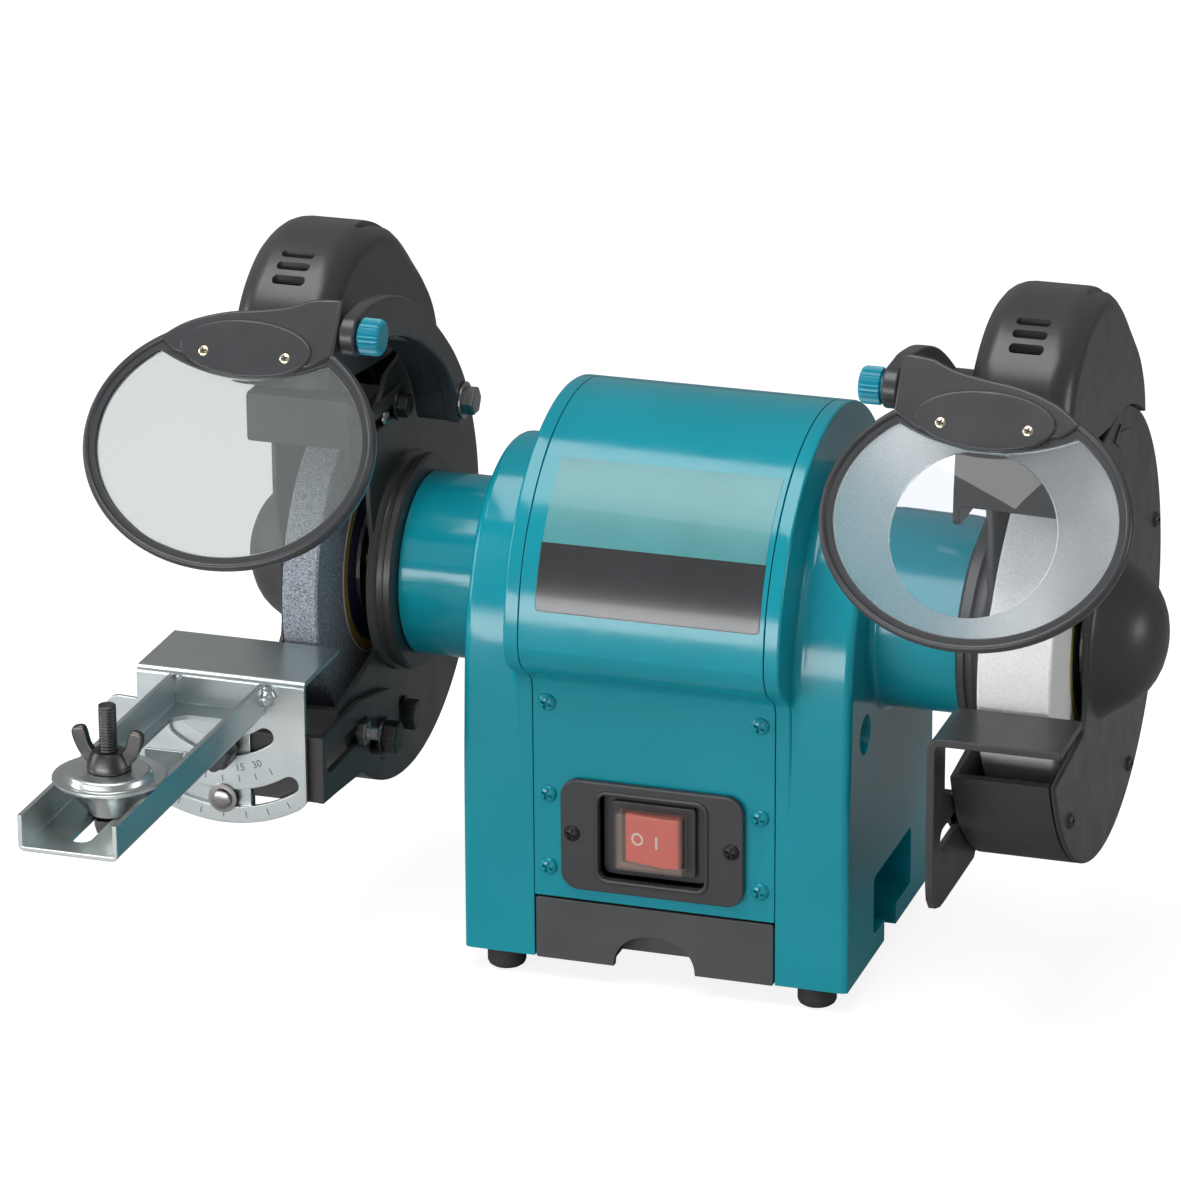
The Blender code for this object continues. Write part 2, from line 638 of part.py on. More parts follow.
def lay_on_shield(mesh, side):
    """Moves a flat mesh made in XY, thickness along Z, onto the plane of a tilted shield."""
    turn = Matrix.Rotation(math.radians(90) - SHIELD_TILT, 4, "X")
    place = Matrix.Translation(Vector((0, PIVOT_Y, PIVOT_Z)) * MM) @ turn
    mesh.transform(place)
    return mirrored(mesh, side)


def shield_outline(inset=0.0):
    """The oval of a shield, as (across, along) with the pivot at along = 0."""
    return ellipse(SHIELD_CENTRE, SHIELD_HALF_WIDTH - inset, SHIELD_HALF_HEIGHT - inset, 40)


def lens_outline(inset=0.0):
    """The window: the oval inside the rim, with the head block's shallow arc taken out of its top."""
    points = []
    for across, along in shield_outline(RIM_WIDTH + inset):
        ceiling = HEAD_BOTTOM + (across - SHIELD_CENTRE[0]) ** 2 / (2 * HEAD_ARC) - inset
        points.append((across, min(along, ceiling)))
    return points


def eye_shields():
    """Each shield: a frame that turns on the arm's boss, with its window set into the rim."""
    lug_start = ARM_OUTER_X + GAP
    head = [(lug_start, -12), (lug_start, 12.3), (133.5, 11), (143, 7), (156, 4.7), (168, 3.6)]
    head += [(180, 0), (189, -4), (196.5, -10.5), (190, -16), (159, -22), (130, -18)]
    for side in (-1, 1):
        who = side_name(side)
        origin = (side * (lug_start + 5), PIVOT_Y, PIVOT_Z)
        rim = plate("Z", [shield_outline(), lens_outline()], 2.0, 9.0)
        frame = add(f"{who}_shield_frame", lay_on_shield(rim, side), "black_plastic", origin)
        block = lay_on_shield(plate("Z", [head], 3.0, 8.8), side)
        pad = lay_on_shield(plate("Z", [ellipse((158, -12.3), 29, 12.2, 24)], 3.5, 10.5), side)
        lug = mirrored(rod("X", (PIVOT_Y, PIVOT_Z), lug_start, 131, 8.0, sides=20), side)
        join(frame, block, lug, pad)
        bore = rod("X", (PIVOT_Y, PIVOT_Z), lug_start - 2, 127, STEM_RADIUS + GAP, sides=12)
        cut(frame, mirrored(bore, side))
        lens = plate("Z", [lens_outline(GAP)], 4.0, 7.0)
        add(f"{who}_shield_lens", lay_on_shield(lens, side), "clear_plastic", origin)


def arm_outline():
    """An arm in (y, z): from the pivot boss over the arch to the bolt on the guard."""
    boss = arc((PIVOT_Y, PIVOT_Z), 8.7, 290, 90, 10)
    top = [(-96, 150), (-75, 146.5), (-52, 138), (-27, 122.5), (-5, 105), (8, 92), (17, 80)]
    end = [(21, 70.5), (19.5, 63.5), (12.5, 61.5), (6.5, 65)]
    under = [(1.5, 79), (-9, 93), (-26, 106.5), (-48, 119), (-70, 127), (-92, 132)]
    return boss + [(y, SHAFT_Z + z) for y, z in top + end + under]


def arms():
    """The arms that carry the shields, with the bolt of each at the guard and the knob at its pivot."""
    guard_side = GUARD_INNER_X - GAP - SHEET - GAP
    bolt_at = (13, SHAFT_Z + 72)
    heel = [(-40, 121), (-27, 122), (-5, 104.5), (7.6, 91.8), (16.6, 79.8), (20.6, 70.5), (19.2, 63.8)]
    heel += [(12.5, 61.8), (6.8, 65.2), (1.8, 79), (-8.7, 93.3), (-26, 106.8), (-40, 115)]
    heel = [(y, SHAFT_Z + z) for y, z in heel]
    flutes = []
    for i in range(24):
        radius = KNOB_RADIUS if i % 2 else KNOB_RADIUS - 0.8
        flutes += arc((PIVOT_Y, PIVOT_Z), radius, i * 15, i * 15, 1)[:1]
    for side in (-1, 1):
        who = side_name(side)
        pivot_hole = circle((PIVOT_Y, PIVOT_Z), STEM_RADIUS + GAP, 12)
        web = plate("X", [arm_outline(), pivot_hole], ARM_INNER_X, ARM_OUTER_X)
        arm = add(f"{who}_shield_arm", mirrored(web, side), "black_plastic")
        join(arm, mirrored(plate("X", [heel], ARM_OUTER_X - 1.5, guard_side), side))
        cut(arm, mirrored(rod("X", bolt_at, 110, 140, STEM_RADIUS + GAP, sides=12), side))
        shank = rod("X", bolt_at, ARM_INNER_X - 0.8, guard_side, STEM_RADIUS, sides=12)
        origin = (side * ARM_INNER_X, *bolt_at)
        bolt = add(f"{who}_arm_bolt", mirrored(shank, side), "dark_steel", origin)
        hexagon = rod("X", bolt_at, ARM_INNER_X - 6.3, ARM_INNER_X - 0.4, 6.4, sides=6)
        join(bolt, mirrored(hexagon, side))
        grip = plate("X", [flutes], 102.5, 111.5)
        origin = (side * 107, PIVOT_Y, PIVOT_Z)
        knob = add(f"{who}_shield_knob", mirrored(grip, side), "knob_teal", origin)
        stem = rod("X", (PIVOT_Y, PIVOT_Z), 111, ARM_OUTER_X + 5.5, STEM_RADIUS, sides=12)
        shoulder = rod("X", (PIVOT_Y, PIVOT_Z), 110.5, ARM_INNER_X - GAP, 5.6, sides=16)
        join(knob, mirrored(stem, side), mirrored(shoulder, side))


# Tool rests.


def left_rest_bracket():
    """The left rest's bent bracket: a slotted leg beside the guard and a flange across the front."""
    top, bottom = SHAFT_Z - 40, SHAFT_Z - 70
    inner, outer = -GUARD_INNER_X + GAP, -GUARD_INNER_X + GAP + BRACKET_SHEET
    leg = [(-117, bottom), (-30, bottom - 6), (-22, bottom), (-22, top - 14)]
    leg += [(-34, top - 8), (-70, top), (-117, top)]
    front_slot = slot((-108, SHAFT_Z - 54), (-66, SHAFT_Z - 54), 4.6)
    rear_slot = slot((-56, SHAFT_Z - 66), (-37, SHAFT_Z - 66), 3.9)
    leg = plate("X", [leg, front_slot, rear_slot], inner, outer)
    bracket = add("left_rest_bracket", leg, "black_enamel", (outer, -117, top))
    flange = box((-200, -117, bottom), (outer, -117 + BRACKET_SHEET, top))
    low, high = (REST_CENTRE_X - 12, -117, bottom - 11), (REST_CENTRE_X + 12, -114, bottom + 1)
    join(bracket, flange, box(low, high))
    for drop in CLAMP_DROPS:
        stud = (REST_CENTRE_X, REST_TOP_L - drop)
        cut(bracket, rod("Y", stud, -118, -112, STEM_RADIUS + GAP, sides=12))


def left_rest():
    """The swivelling zinc rest, the sector behind it, and the two clamps that hold it at its angle."""
    centre = (REST_CENTRE_X, REST_TOP_L)
    studs = [(REST_CENTRE_X, REST_TOP_L - drop) for drop in CLAMP_DROPS]
    back = -117 - GAP
    swept = [(-165, 123.5), (-209, 122.5), (-213.5, 129.5), (-224, 130)]
    outline = swept + arc((-225, SHAFT_Z - 36), 6, 90, 240, 5)
    outline += arc(centre, 62, 230, 281, 8)
    holes = [circle(stud, STEM_RADIUS + GAP, 12) for stud in studs]
    sheet = plate("Y", [outline] + holes, back - 1.8, back)
    add("left_rest_sector", sheet, "zinc", (centre[0], back, centre[1]))
    left, right = centre[0] - REST_HALF_WIDTH, centre[0] + REST_HALF_WIDTH
    corner = centre[1] - 56.6
    outline = [(right, centre[1]), (left, centre[1]), (left, corner)]
    outline += arc(centre, 68, 236, 304, 14)[1:-1] + [(right, corner)]
    slots = [
        arc_slot(centre, CLAMP_DROPS[0], 3.9, 233, 307, 8),
        arc_slot(centre, CLAMP_DROPS[1], 3.9, 237, 303, 10),
    ]
    face = plate("Y", [outline] + slots, REST_FRONT, back - 1.8 - GAP)
    rest = add("left_rest_plate", face, "zinc", (centre[0], REST_FRONT, centre[1]))
    join(rest, box((left, REST_FRONT + 0.5, centre[1] - ZINC), (right, REST_BACK, centre[1])))
    grip = rod("Y", studs[0], REST_FRONT - 12, REST_FRONT - GAP, 9.5, sides=20)
    knob = add("rest_clamp_knob", grip, "black_plastic", (centre[0], REST_FRONT, studs[0][1]))
    bevel(knob, 1.2, 2, 60)
    join(knob, rod("Y", studs[0], REST_FRONT - 1, -112.5, STEM_RADIUS, sides=12))
    head = rod("Y", studs[1], REST_FRONT - 2.4, REST_FRONT - GAP, 8.0, sides=20)
    bolt = add("rest_sector_bolt", head, "steel", (centre[0], REST_FRONT, studs[1][1]))
    join(bolt, rod("Y", studs[1], REST_FRONT - 1, -111.5, STEM_RADIUS, sides=12))


def drill_jig():
    """The channel welded to the rest, and the cone that slides along it."""
    front = REST_FRONT - GAP
    middle = REST_CENTRE_X - 1
    wall = 2.0
    outer, inner = CHANNEL_HALF_WIDTH, CHANNEL_HALF_WIDTH - wall
    floor = CHANNEL_BOTTOM + wall
    half = [(outer, CHANNEL_BOTTOM), (outer, CHANNEL_TOP), (inner, CHANNEL_TOP), (inner, floor)]
    section = [(middle + u, v) for u, v in half] + [(middle - u, v) for u, v in reversed(half)]
    sheet = plate("Y", [section], CHANNEL_END, front)
    channel = add("jig_channel", sheet, "zinc", (middle, front, CHANNEL_TOP))
    window = rounded_box((middle - 15, -196), (middle + 15, front - 12), 9, 3)
    groove = slot((middle, -272), (middle, -216), 4.3)
    cut(channel, *[plate("Z", [hole], CHANNEL_BOTTOM - 4, floor + 3) for hole in (window, groove)])
    stud = 3.8
    cone = [(GAP, stud + GAP), (GAP, 9.5), (5, 12.5), (10, 16.5), (14.2, 19.5), (14.2, 23.6)]
    cone += [(16.2, 23.6), (16.2, 17.5), (18.4, 15.5), (18.4, stud + GAP)]
    cone = [(floor + along, radius) for along, radius in cone]
    turned("jig_cone", "Z", (middle, JIG_Y), cone, "zinc", 28)
    head, top = CHANNEL_BOTTOM - GAP, SHAFT_Z + 17.5
    bolt = [(head - 5.7, 0), (head - 5.7, 7.5), (head, 7.5), (head, stud)]
    bolt += [(top - 1, stud), (top, stud - 0.8), (top, 0)]
    turned("jig_bolt", "Z", (middle, JIG_Y), bolt, "dark_steel", 16)
    base = floor + 18.4 + GAP
    hub = [(base, stud + GAP), (base, 9.0), (base + 8, 7.2), (base + 8, stud + GAP)]
    nut = turned("wing_nut", "Z", (middle, JIG_Y), hub, "dark_steel", 16)
    wing = [(6.5, 1), (9, 1), (15, 8), (18.5, 17), (17.5, 20), (12, 21), (9.5, 13), (6.0, 7)]
    for side in (-1, 1):
        outline = [(middle + side * u, base + v) for u, v in wing]
        join(nut, plate("Y", [outline], JIG_Y - 2.2, JIG_Y + 2.2))


def rest_bolts():
    """The bolt that clamps each rest's leg to its guard."""
    outer = GUARD_INNER_X - GAP - BAR_SHEET - GAP
    for side, bolt_y, drop in ((-1, -45, 66), (1, -64, 60)):
        at = (bolt_y, SHAFT_Z - drop)
        washer = rod("X", at, outer - 1.5, outer, 8.5, sides=16)
        name = f"{side_name(side)}_rest_bolt"
        bolt = add(name, mirrored(washer, side), "dark_steel", (side * outer, *at))
        head = rod("X", at, outer - 7.5, outer - 1, 7.2, sides=6)
        shank = rod("X", at, outer - 1.2, GUARD_INNER_X - GAP, STEM_RADIUS, sides=12)
        join(bolt, mirrored(head, side), mirrored(shank, side))


def right_rest():
    """One bent bar: a flat top and a slotted leg beside the guard."""
    inner = GUARD_INNER_X - GAP - BAR_SHEET
    top = REST_TOP_R
    leg = [(-115, top), (-115, top - 66), (-109, top - 78), (-95, top - 81), (-42, top - 81)]
    leg += [(-42, top - 42), (-70, top - 42), (-97, top - 30), (-97, top)]
    hole = slot((-99, SHAFT_Z - 60), (-52, SHAFT_Z - 60), 4.6)
    leg = plate("X", [leg, hole], inner, inner + BAR_SHEET)
    rest = add("right_rest", leg, "black_enamel", (inner, -115, top))
    outline = rounded_box((inner, -115), (188.5, REST_BACK), 2.5, 2)
    join(rest, plate("Z", [outline], top - BAR_SHEET, top))


def frame_all():
    """Parents every node to one empty, which centres the machine's box on the world origin."""
    bpy.context.view_layer.update()
    graph = bpy.context.evaluated_depsgraph_get()
    corners = []
    for obj in PARTS.objects:
        evaluated = obj.evaluated_get(graph)
        corners += [evaluated.matrix_world @ Vector(corner) for corner in evaluated.bound_box]
    middle = [(min(c[i] for c in corners) + max(c[i] for c in corners)) / 2 for i in (0, 1)]
    frame = bpy.data.objects.new("machine_frame", None)
    PARTS.objects.link(frame)
    for obj in [*PARTS.objects, *CUTTERS.objects]:
        if obj is not frame:
            obj.parent = frame
    frame.location = (-middle[0], -middle[1], 0.0)


clear_scene()
PARTS = new_collection("bench_grinder")
CUTTERS = new_collection("cutters")
end_castings()
motor_cover()
base_deck()
feet()
coolant_tray()
motor()
switch()
wheels()
guards()
spark_covers()
spark_arrestors()
eye_shields()
arms()
left_rest_bracket()
left_rest()
drill_jig()
rest_bolts()
right_rest()
frame_all()
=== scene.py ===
"""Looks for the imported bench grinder: detailed pieces over the CAD frame, materials, light and camera.

Sizes are millimetres in the machine frame of the CAD: X along the shaft, -Y towards the operator, and
heights from the bench. OFFSET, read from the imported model, moves each finished mesh into the row frame.
"""

import math

import bmesh
import bpy
from mathutils import Matrix, Vector, noise


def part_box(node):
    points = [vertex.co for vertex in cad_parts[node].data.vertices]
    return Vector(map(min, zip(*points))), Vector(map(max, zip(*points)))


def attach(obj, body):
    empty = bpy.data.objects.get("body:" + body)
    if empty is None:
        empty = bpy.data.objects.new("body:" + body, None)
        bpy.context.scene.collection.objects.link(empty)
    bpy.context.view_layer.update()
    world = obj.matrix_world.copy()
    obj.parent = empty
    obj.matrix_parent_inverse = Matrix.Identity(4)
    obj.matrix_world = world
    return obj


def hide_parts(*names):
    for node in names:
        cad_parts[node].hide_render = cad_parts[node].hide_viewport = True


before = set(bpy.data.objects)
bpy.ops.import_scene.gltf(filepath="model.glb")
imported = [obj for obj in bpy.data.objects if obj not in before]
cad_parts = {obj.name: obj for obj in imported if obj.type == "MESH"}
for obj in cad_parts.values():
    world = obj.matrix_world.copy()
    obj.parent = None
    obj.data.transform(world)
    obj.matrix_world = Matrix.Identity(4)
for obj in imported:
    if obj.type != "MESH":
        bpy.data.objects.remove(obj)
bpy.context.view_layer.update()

MM = 0.001


def middle(node):
    """Centre of a CAD node's box."""
    low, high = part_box(node)
    return (low + high) / 2


OFFSET = Vector((middle("left_end_casting").x, middle("shaft").y, 0.0))
OFFSET.x = (OFFSET.x + middle("right_end_casting").x) / 2
SHAFT_Z = middle("shaft").z / MM
SHAFT = (0, SHAFT_Z)
SIDES = (("left", -1), ("right", 1))
GAP = 0.3  # clearance between pieces that move past each other

# Outlines, as lists of (u, v).


def arc(centre, radius, start, end, steps):
    """Points along an arc between two angles in degrees."""
    points = []
    for i in range(steps + 1):
        angle = math.radians(start + (end - start) * i / steps)
        points.append((centre[0] + radius * math.cos(angle), centre[1] + radius * math.sin(angle)))
    return points


def rounded_box(low, high, radius, steps=6):
    """A rectangle between two corners, with its own corners rounded."""
    (u0, v0), (u1, v1) = low, high
    points = arc((u1 - radius, v1 - radius), radius, 0, 90, steps)
    points += arc((u0 + radius, v1 - radius), radius, 90, 180, steps)
    points += arc((u0 + radius, v0 + radius), radius, 180, 270, steps)
    points += arc((u1 - radius, v0 + radius), radius, 270, 360, steps)
    return points


def slot(start, end, half_width, steps=10):
    """A straight slot around the line from start to end."""
    angle = math.degrees(math.atan2(end[1] - start[1], end[0] - start[0]))
    far = arc(end, half_width, angle - 90, angle + 90, steps)
    return far + arc(start, half_width, angle + 90, angle + 270, steps)


def arc_slot(centre, radius, half_width, start, end, steps=24):
    """A slot bent along an arc, with round ends."""
    caps = []
    for angle, turn in ((end, end), (start, start + 180)):
        at = arc(centre, radius, angle, angle, 1)[0]
        caps.append(arc(at, half_width, turn, turn + 180, 8)[1:-1])
    outer = arc(centre, radius + half_width, start, end, steps)
    inner = arc(centre, radius - half_width, end, start, steps)
    return outer + caps[0] + inner + caps[1]


def circle(centre, radius, steps=48):
    """A whole circle as a closed outline."""
    return arc(centre, radius, 0, 360, steps)[:-1]


def ellipse(centre, half_u, half_v, steps=72):
    """A whole ellipse from its two half widths."""
    return [(centre[0] + half_u * u, centre[1] + half_v * v) for u, v in circle((0, 0), 1, steps)]


def lifted(points):
    """Points given from the shaft, as heights from the bench."""
    return [(y, z + SHAFT_Z) for y, z in points]


def flowing(points, steps=4, closed=False):
    """A Catmull-Rom curve through the points."""
    count = len(points)
    spans = range(count if closed else count - 1)
    out = []
    for i in spans:
        four = []
        for k in (i - 1, i, i + 1, i + 2):
            four.append(points[k % count] if closed else points[max(0, min(count - 1, k))])
        a, b, c, d = [Vector(p) for p in four]
        for j in range(steps):
            t = j / steps
            at = 2 * b + (c - a) * t + (2 * a - 5 * b + 4 * c - d) * t * t
            at += (3 * b - a - 3 * c + d) * t**3
            out.append(tuple(at * 0.5))
    return out if closed else out + [tuple(points[-1])]


# Meshes, in millimetres until they are placed.

AXES = {
    "X": Matrix(((0, 0, 1, 0), (1, 0, 0, 0), (0, 1, 0, 0), (0, 0, 0, 1))),
    "Y": Matrix(((1, 0, 0, 0), (0, 0, -1, 0), (0, 1, 0, 0), (0, 0, 0, 1))),
    "Z": Matrix.Identity(4),
}
TURNS = {
    "X": Matrix.Rotation(math.radians(90), 4, "Y"),
    "Y": Matrix.Rotation(math.radians(-90), 4, "X"),
    "Z": Matrix.Identity(4),
}


def mesh_of(bm, name="shape"):
    """A mesh from a bmesh, with its faces turned outwards."""
    bmesh.ops.recalc_face_normals(bm, faces=bm.faces)
    mesh = bpy.data.meshes.new(name)
    bm.to_mesh(mesh)
    bm.free()
    return mesh


def evaluated(obj):
    """The object's mesh with its modifiers applied; the object itself is removed."""
    graph = bpy.context.evaluated_depsgraph_get()
    mesh = bpy.data.meshes.new_from_object(obj.evaluated_get(graph))
    bpy.data.objects.remove(obj, do_unlink=True)
    return mesh


def linked(data):
    """A working object that holds the data."""
    obj = bpy.data.objects.new("working", data)
    bpy.context.scene.collection.objects.link(obj)
    return obj


def plate(axis, outlines, start, end, edge=0.0, edge_steps=2):
    """An outline with holes, extruded along an axis, its edges rounded by a small radius."""
    curve = bpy.data.curves.new("outline", "CURVE")
    curve.dimensions = "2D"
    curve.fill_mode = "BOTH"
    curve.extrude = abs(end - start) / 2 - edge
    curve.bevel_depth = edge
    curve.bevel_resolution = edge_steps
    curve.offset = -edge
    for outline in outlines:
        spline = curve.splines.new("POLY")
        spline.points.add(len(outline) - 1)
        for point, (u, v) in zip(spline.points, outline):
            point.co = (u, v, 0.0, 1.0)
        spline.use_cyclic_u = True
    mesh = evaluated(linked(curve))
    bm = bmesh.new()
    bm.from_mesh(mesh)
    bmesh.ops.remove_doubles(bm, verts=bm.verts, dist=1e-3)
    along = (start + end) / 2 * (-1 if axis == "Y" else 1)
    bmesh.ops.transform(bm, matrix=AXES[axis] @ Matrix.Translation((0, 0, along)), verts=bm.verts)
    return mesh_of(bm)


def turned(axis, centre, profile, sides=64):
    """A closed profile of (along, radius) points, turned about an axis."""
    bm = bmesh.new()
    rings = []
    for along, radius in profile:
        if radius < 1e-6:
            rings.append([bm.verts.new((0, 0, along))])
            continue
        ring = []
        for i in range(sides):
            turn = 2 * math.pi * i / sides
            ring.append(bm.verts.new((radius * math.cos(turn), radius * math.sin(turn), along)))
        rings.append(ring)
    for first, second in zip(rings, rings[1:] + rings[:1]):
        bridge(bm, first, second)
    at = list(centre)
    at.insert("XYZ".index(axis), 0.0)
    bmesh.ops.transform(bm, matrix=Matrix.Translation(at) @ TURNS[axis], verts=bm.verts)
    return mesh_of(bm)


def bridge(bm, first, second):
    """Faces between two rings of vertices, either of which may be a single point."""
    if len(first) == len(second) == 1:
        return
    count = max(len(first), len(second))
    for i in range(count):
        j = (i + 1) % count
        if len(first) == 1:
            bm.faces.new((first[0], second[i], second[j]))
        elif len(second) == 1:
            bm.faces.new((first[i], first[j], second[0]))
        else:
            bm.faces.new((first[i], first[j], second[j], second[i]))


def rod(axis, centre, start, end, radius, sides=48, edge=0.0):
    """A round bar along an axis, its ends rounded over when it has an edge."""
    low, high = min(start, end), max(start, end)
    turns = (0, 0.5, 1.05, 1.57) if edge else (0,)
    profile = [(low, 0)]
    profile += [(low + edge * (1 - math.cos(t)), radius - edge * (1 - math.sin(t))) for t in turns]
    profile += [(high - edge * (1 - math.sin(t)), radius - edge * (1 - math.cos(t))) for t in turns]
    return turned(axis, centre, profile + [(high, 0)], sides)


def box(low, high, edge=0.0):
    """A block between two corners."""
    (x0, y0, z0), (x1, y1, z1) = low, high
    return plate("Z", [[(x0, y0), (x1, y0), (x1, y1), (x0, y1)]], z0, z1, edge)


def loft(rings):
    """A closed skin over rings of equally many points, capped at both ends."""
    bm = bmesh.new()
    rows = [[bm.verts.new(point) for point in ring] for ring in rings]
    for first, second in zip(rows, rows[1:]):
        bridge(bm, first, second)
    bm.faces.new(rows[0])
    bm.faces.new(rows[-1])
    return mesh_of(bm)


def boolean(mesh, operation, others):
    """The mesh after one boolean with each of the others."""
    obj = linked(mesh)
    helpers = [linked(other) for other in others]
    for helper in helpers:
        modifier = obj.modifiers.new("boolean", "BOOLEAN")
        modifier.operation = operation
        modifier.solver = "EXACT"
        modifier.object = helper
    result = evaluated(obj)
    for helper in helpers:
        bpy.data.objects.remove(helper, do_unlink=True)
    return result


def joined(mesh, *others):
    """The meshes united into one solid."""
    return boolean(mesh, "UNION", others)


def cut(mesh, *others):
    """The mesh with the others taken out of it."""
    return boolean(mesh, "DIFFERENCE", others)


def gathered(*meshes):
    """Several separate closed shapes in one mesh."""
    bm = bmesh.new()
    for mesh in meshes:
        bm.from_mesh(mesh)
    result = bpy.data.meshes.new("group")
    bm.to_mesh(result)
    bm.free()
    return result


def softened(mesh, width, segments=3, angle=40.0):
    """The mesh with every edge that is sharper than the angle rounded."""
    obj = linked(mesh)
    modifier = obj.modifiers.new("bevel", "BEVEL")
    modifier.width = width
    modifier.segments = segments
    modifier.limit_method = "ANGLE"
    modifier.angle_limit = math.radians(angle)
    return evaluated(obj)


def mirrored(mesh, side):
    """The mesh as it is on the right, or turned into its mirror image for the left."""
    if side < 0:
        mesh.transform(Matrix.Diagonal((-1, 1, 1, 1)))
        mesh.flip_normals()
    return mesh


def moved(mesh, *steps):
    """Moves the mesh by each step in turn, a matrix or a shift."""
    for step in steps:
        mesh.transform(step if isinstance(step, Matrix) else Matrix.Translation(step))
    return mesh


def copied(mesh, *steps):
    """A moved copy of the mesh."""
    return moved(mesh.copy(), *steps)


def hexagon(axis, centre, start, end, across, edge=0.6):
    """A bolt head or nut: a hexagon with eased edges."""
    return plate(axis, [circle(centre, across / math.sqrt(3), 6)], start, end, edge)


def piece(name, mesh, body, finish, replaces=(), angle=38.0):
    """Places a finished mesh: its look, the body that it rides on, the CAD nodes that it stands for."""
    mesh.transform(Matrix.Translation(OFFSET) @ Matrix.Scale(MM, 4))
    mesh.materials.clear()
    mesh.materials.append(finish)
    mesh.shade_smooth()
    mesh.set_sharp_from_angle(angle=math.radians(angle))
    mesh.name = name
    obj = bpy.data.objects.new(name, mesh)
    bpy.context.scene.collection.objects.link(obj)
    weighted = obj.modifiers.new("normals", "WEIGHTED_NORMAL")
    weighted.keep_sharp = True
    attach(obj, body)
    if replaces:
        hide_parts(*replaces)
    return obj


# Materials.


class Finish:
    """A node material around one Principled shader."""

    def __init__(self, name, colour, roughness, metallic=0.0, **sockets):
        self.material = bpy.data.materials.new(name)
        self.material.use_nodes = True
        self.tree = self.material.node_tree
        self.shader = self.tree.nodes["Principled BSDF"]
        self.shader.inputs["Base Color"].default_value = (*colour, 1.0)
        self.shader.inputs["Roughness"].default_value = roughness
        self.shader.inputs["Metallic"].default_value = metallic
        for key, value in sockets.items():
            self.shader.inputs[key.replace("_", " ")].default_value = value
        self.colour = colour
        self.roughness = roughness
        self.coords = self.tree.nodes.new("ShaderNodeTexCoord").outputs["Object"]
        self.height = None

    def node(self, kind, **settings):
        """Adds a node with some of its settings."""
        made = self.tree.nodes.new(kind)
        for key, value in settings.items():
            setattr(made, key, value)
        return made

    def link(self, source, target):
        """Joins an output to an input."""
        self.tree.links.new(source, target)

    def noise(self, scale, detail=3.0, stretch=(1, 1, 1), distortion=0.0, roughness=0.55):
        """Noise with about scale features in a metre."""
        mapping = self.node("ShaderNodeMapping")
        mapping.inputs["Scale"].default_value = stretch
        self.link(self.coords, mapping.inputs["Vector"])
        texture = self.node("ShaderNodeTexNoise")
        texture.inputs["Scale"].default_value = scale
        texture.inputs["Detail"].default_value = detail
        texture.inputs["Roughness"].default_value = roughness
        texture.inputs["Distortion"].default_value = distortion
        self.link(mapping.outputs["Vector"], texture.inputs["Vector"])
        return texture.outputs["Fac"]

    def ramp(self, source, stops):
        """Colour stops as (position, colour)."""
        made = self.node("ShaderNodeValToRGB")
        elements = made.color_ramp.elements
        while len(elements) < len(stops):
            elements.new(0.5)
        for element, (position, colour) in zip(elements, stops):
            element.position = position
            element.color = (*colour, 1.0)
        self.link(source, made.inputs["Fac"])
        return made.outputs["Color"]

    def spread(self, source, low, high, at_low=0.3, at_high=0.7):
        """A plain number that follows the source between two values."""
        made = self.node("ShaderNodeMapRange")
        made.inputs["From Min"].default_value = at_low
        made.inputs["From Max"].default_value = at_high
        made.inputs["To Min"].default_value = low
        made.inputs["To Max"].default_value = high
        self.link(source, made.inputs["Value"])
        return made.outputs["Result"]

    def vary_colour(self, source, amount):
        """Lighter and darker patches of the base colour."""
        dark = tuple(c * (1 - amount) for c in self.colour)
        light = tuple(min(1.0, c * (1 + amount)) for c in self.colour)
        self.link(self.ramp(source, [(0.3, dark), (0.7, light)]), self.shader.inputs["Base Color"])

    def vary_roughness(self, source, low, high):
        """Gloss that wanders between two roughnesses."""
        self.link(self.spread(source, low, high), self.shader.inputs["Roughness"])

    def bump(self, source, strength, distance):
        """Adds surface relief; distance is in millimetres."""
        made = self.node("ShaderNodeBump")
        made.inputs["Strength"].default_value = strength
        made.inputs["Distance"].default_value = distance * MM
        self.link(source, made.inputs["Height"])
        if self.height:
            self.link(self.height, made.inputs["Normal"])
        self.height = made.outputs["Normal"]
        self.link(self.height, self.shader.inputs["Normal"])


def paint_finish(name, colour, roughness, peel):
    """Enamel or powder coat: an orange-peel skin with a faint mottle."""
    made = Finish(name, colour, roughness)
    made.vary_colour(made.noise(14, 2), 0.05)
    made.vary_roughness(made.noise(60, 4), roughness - 0.04, roughness + 0.05)
    made.bump(made.noise(700, 2), 0.25, peel)
    return made.material


def moulded_finish(name, colour, roughness, grain=0.02):
    """Moulded plastic: fine spark-eroded grain and faint handling marks."""
    made = Finish(name, colour, roughness)
    made.vary_colour(made.noise(25, 3), 0.10)
    made.vary_roughness(made.noise(90, 4), roughness - 0.03, roughness + 0.04)
    made.bump(made.noise(2600, 2), 0.35, grain)
    return made.material


def metal_finish(name, colour, roughness, stretch=(1, 1, 1), tint=None, grain=0.006, scale=60):
    """Bare or plated metal: rolled streaks, a cloudy tint and varied gloss."""
    made = Finish(name, colour, roughness, 1.0)
    cloud = made.noise(scale, 2, stretch)
    clouded = made.ramp(cloud, [(0.2, tint or colour), (0.6, colour)])
    made.link(clouded, made.shader.inputs["Base Color"])
    made.vary_roughness(made.noise(scale * 3, 3, stretch), roughness * 0.9, roughness * 1.12)
    made.bump(made.noise(scale * 30, 3, stretch), 0.3, grain)
    return made.material


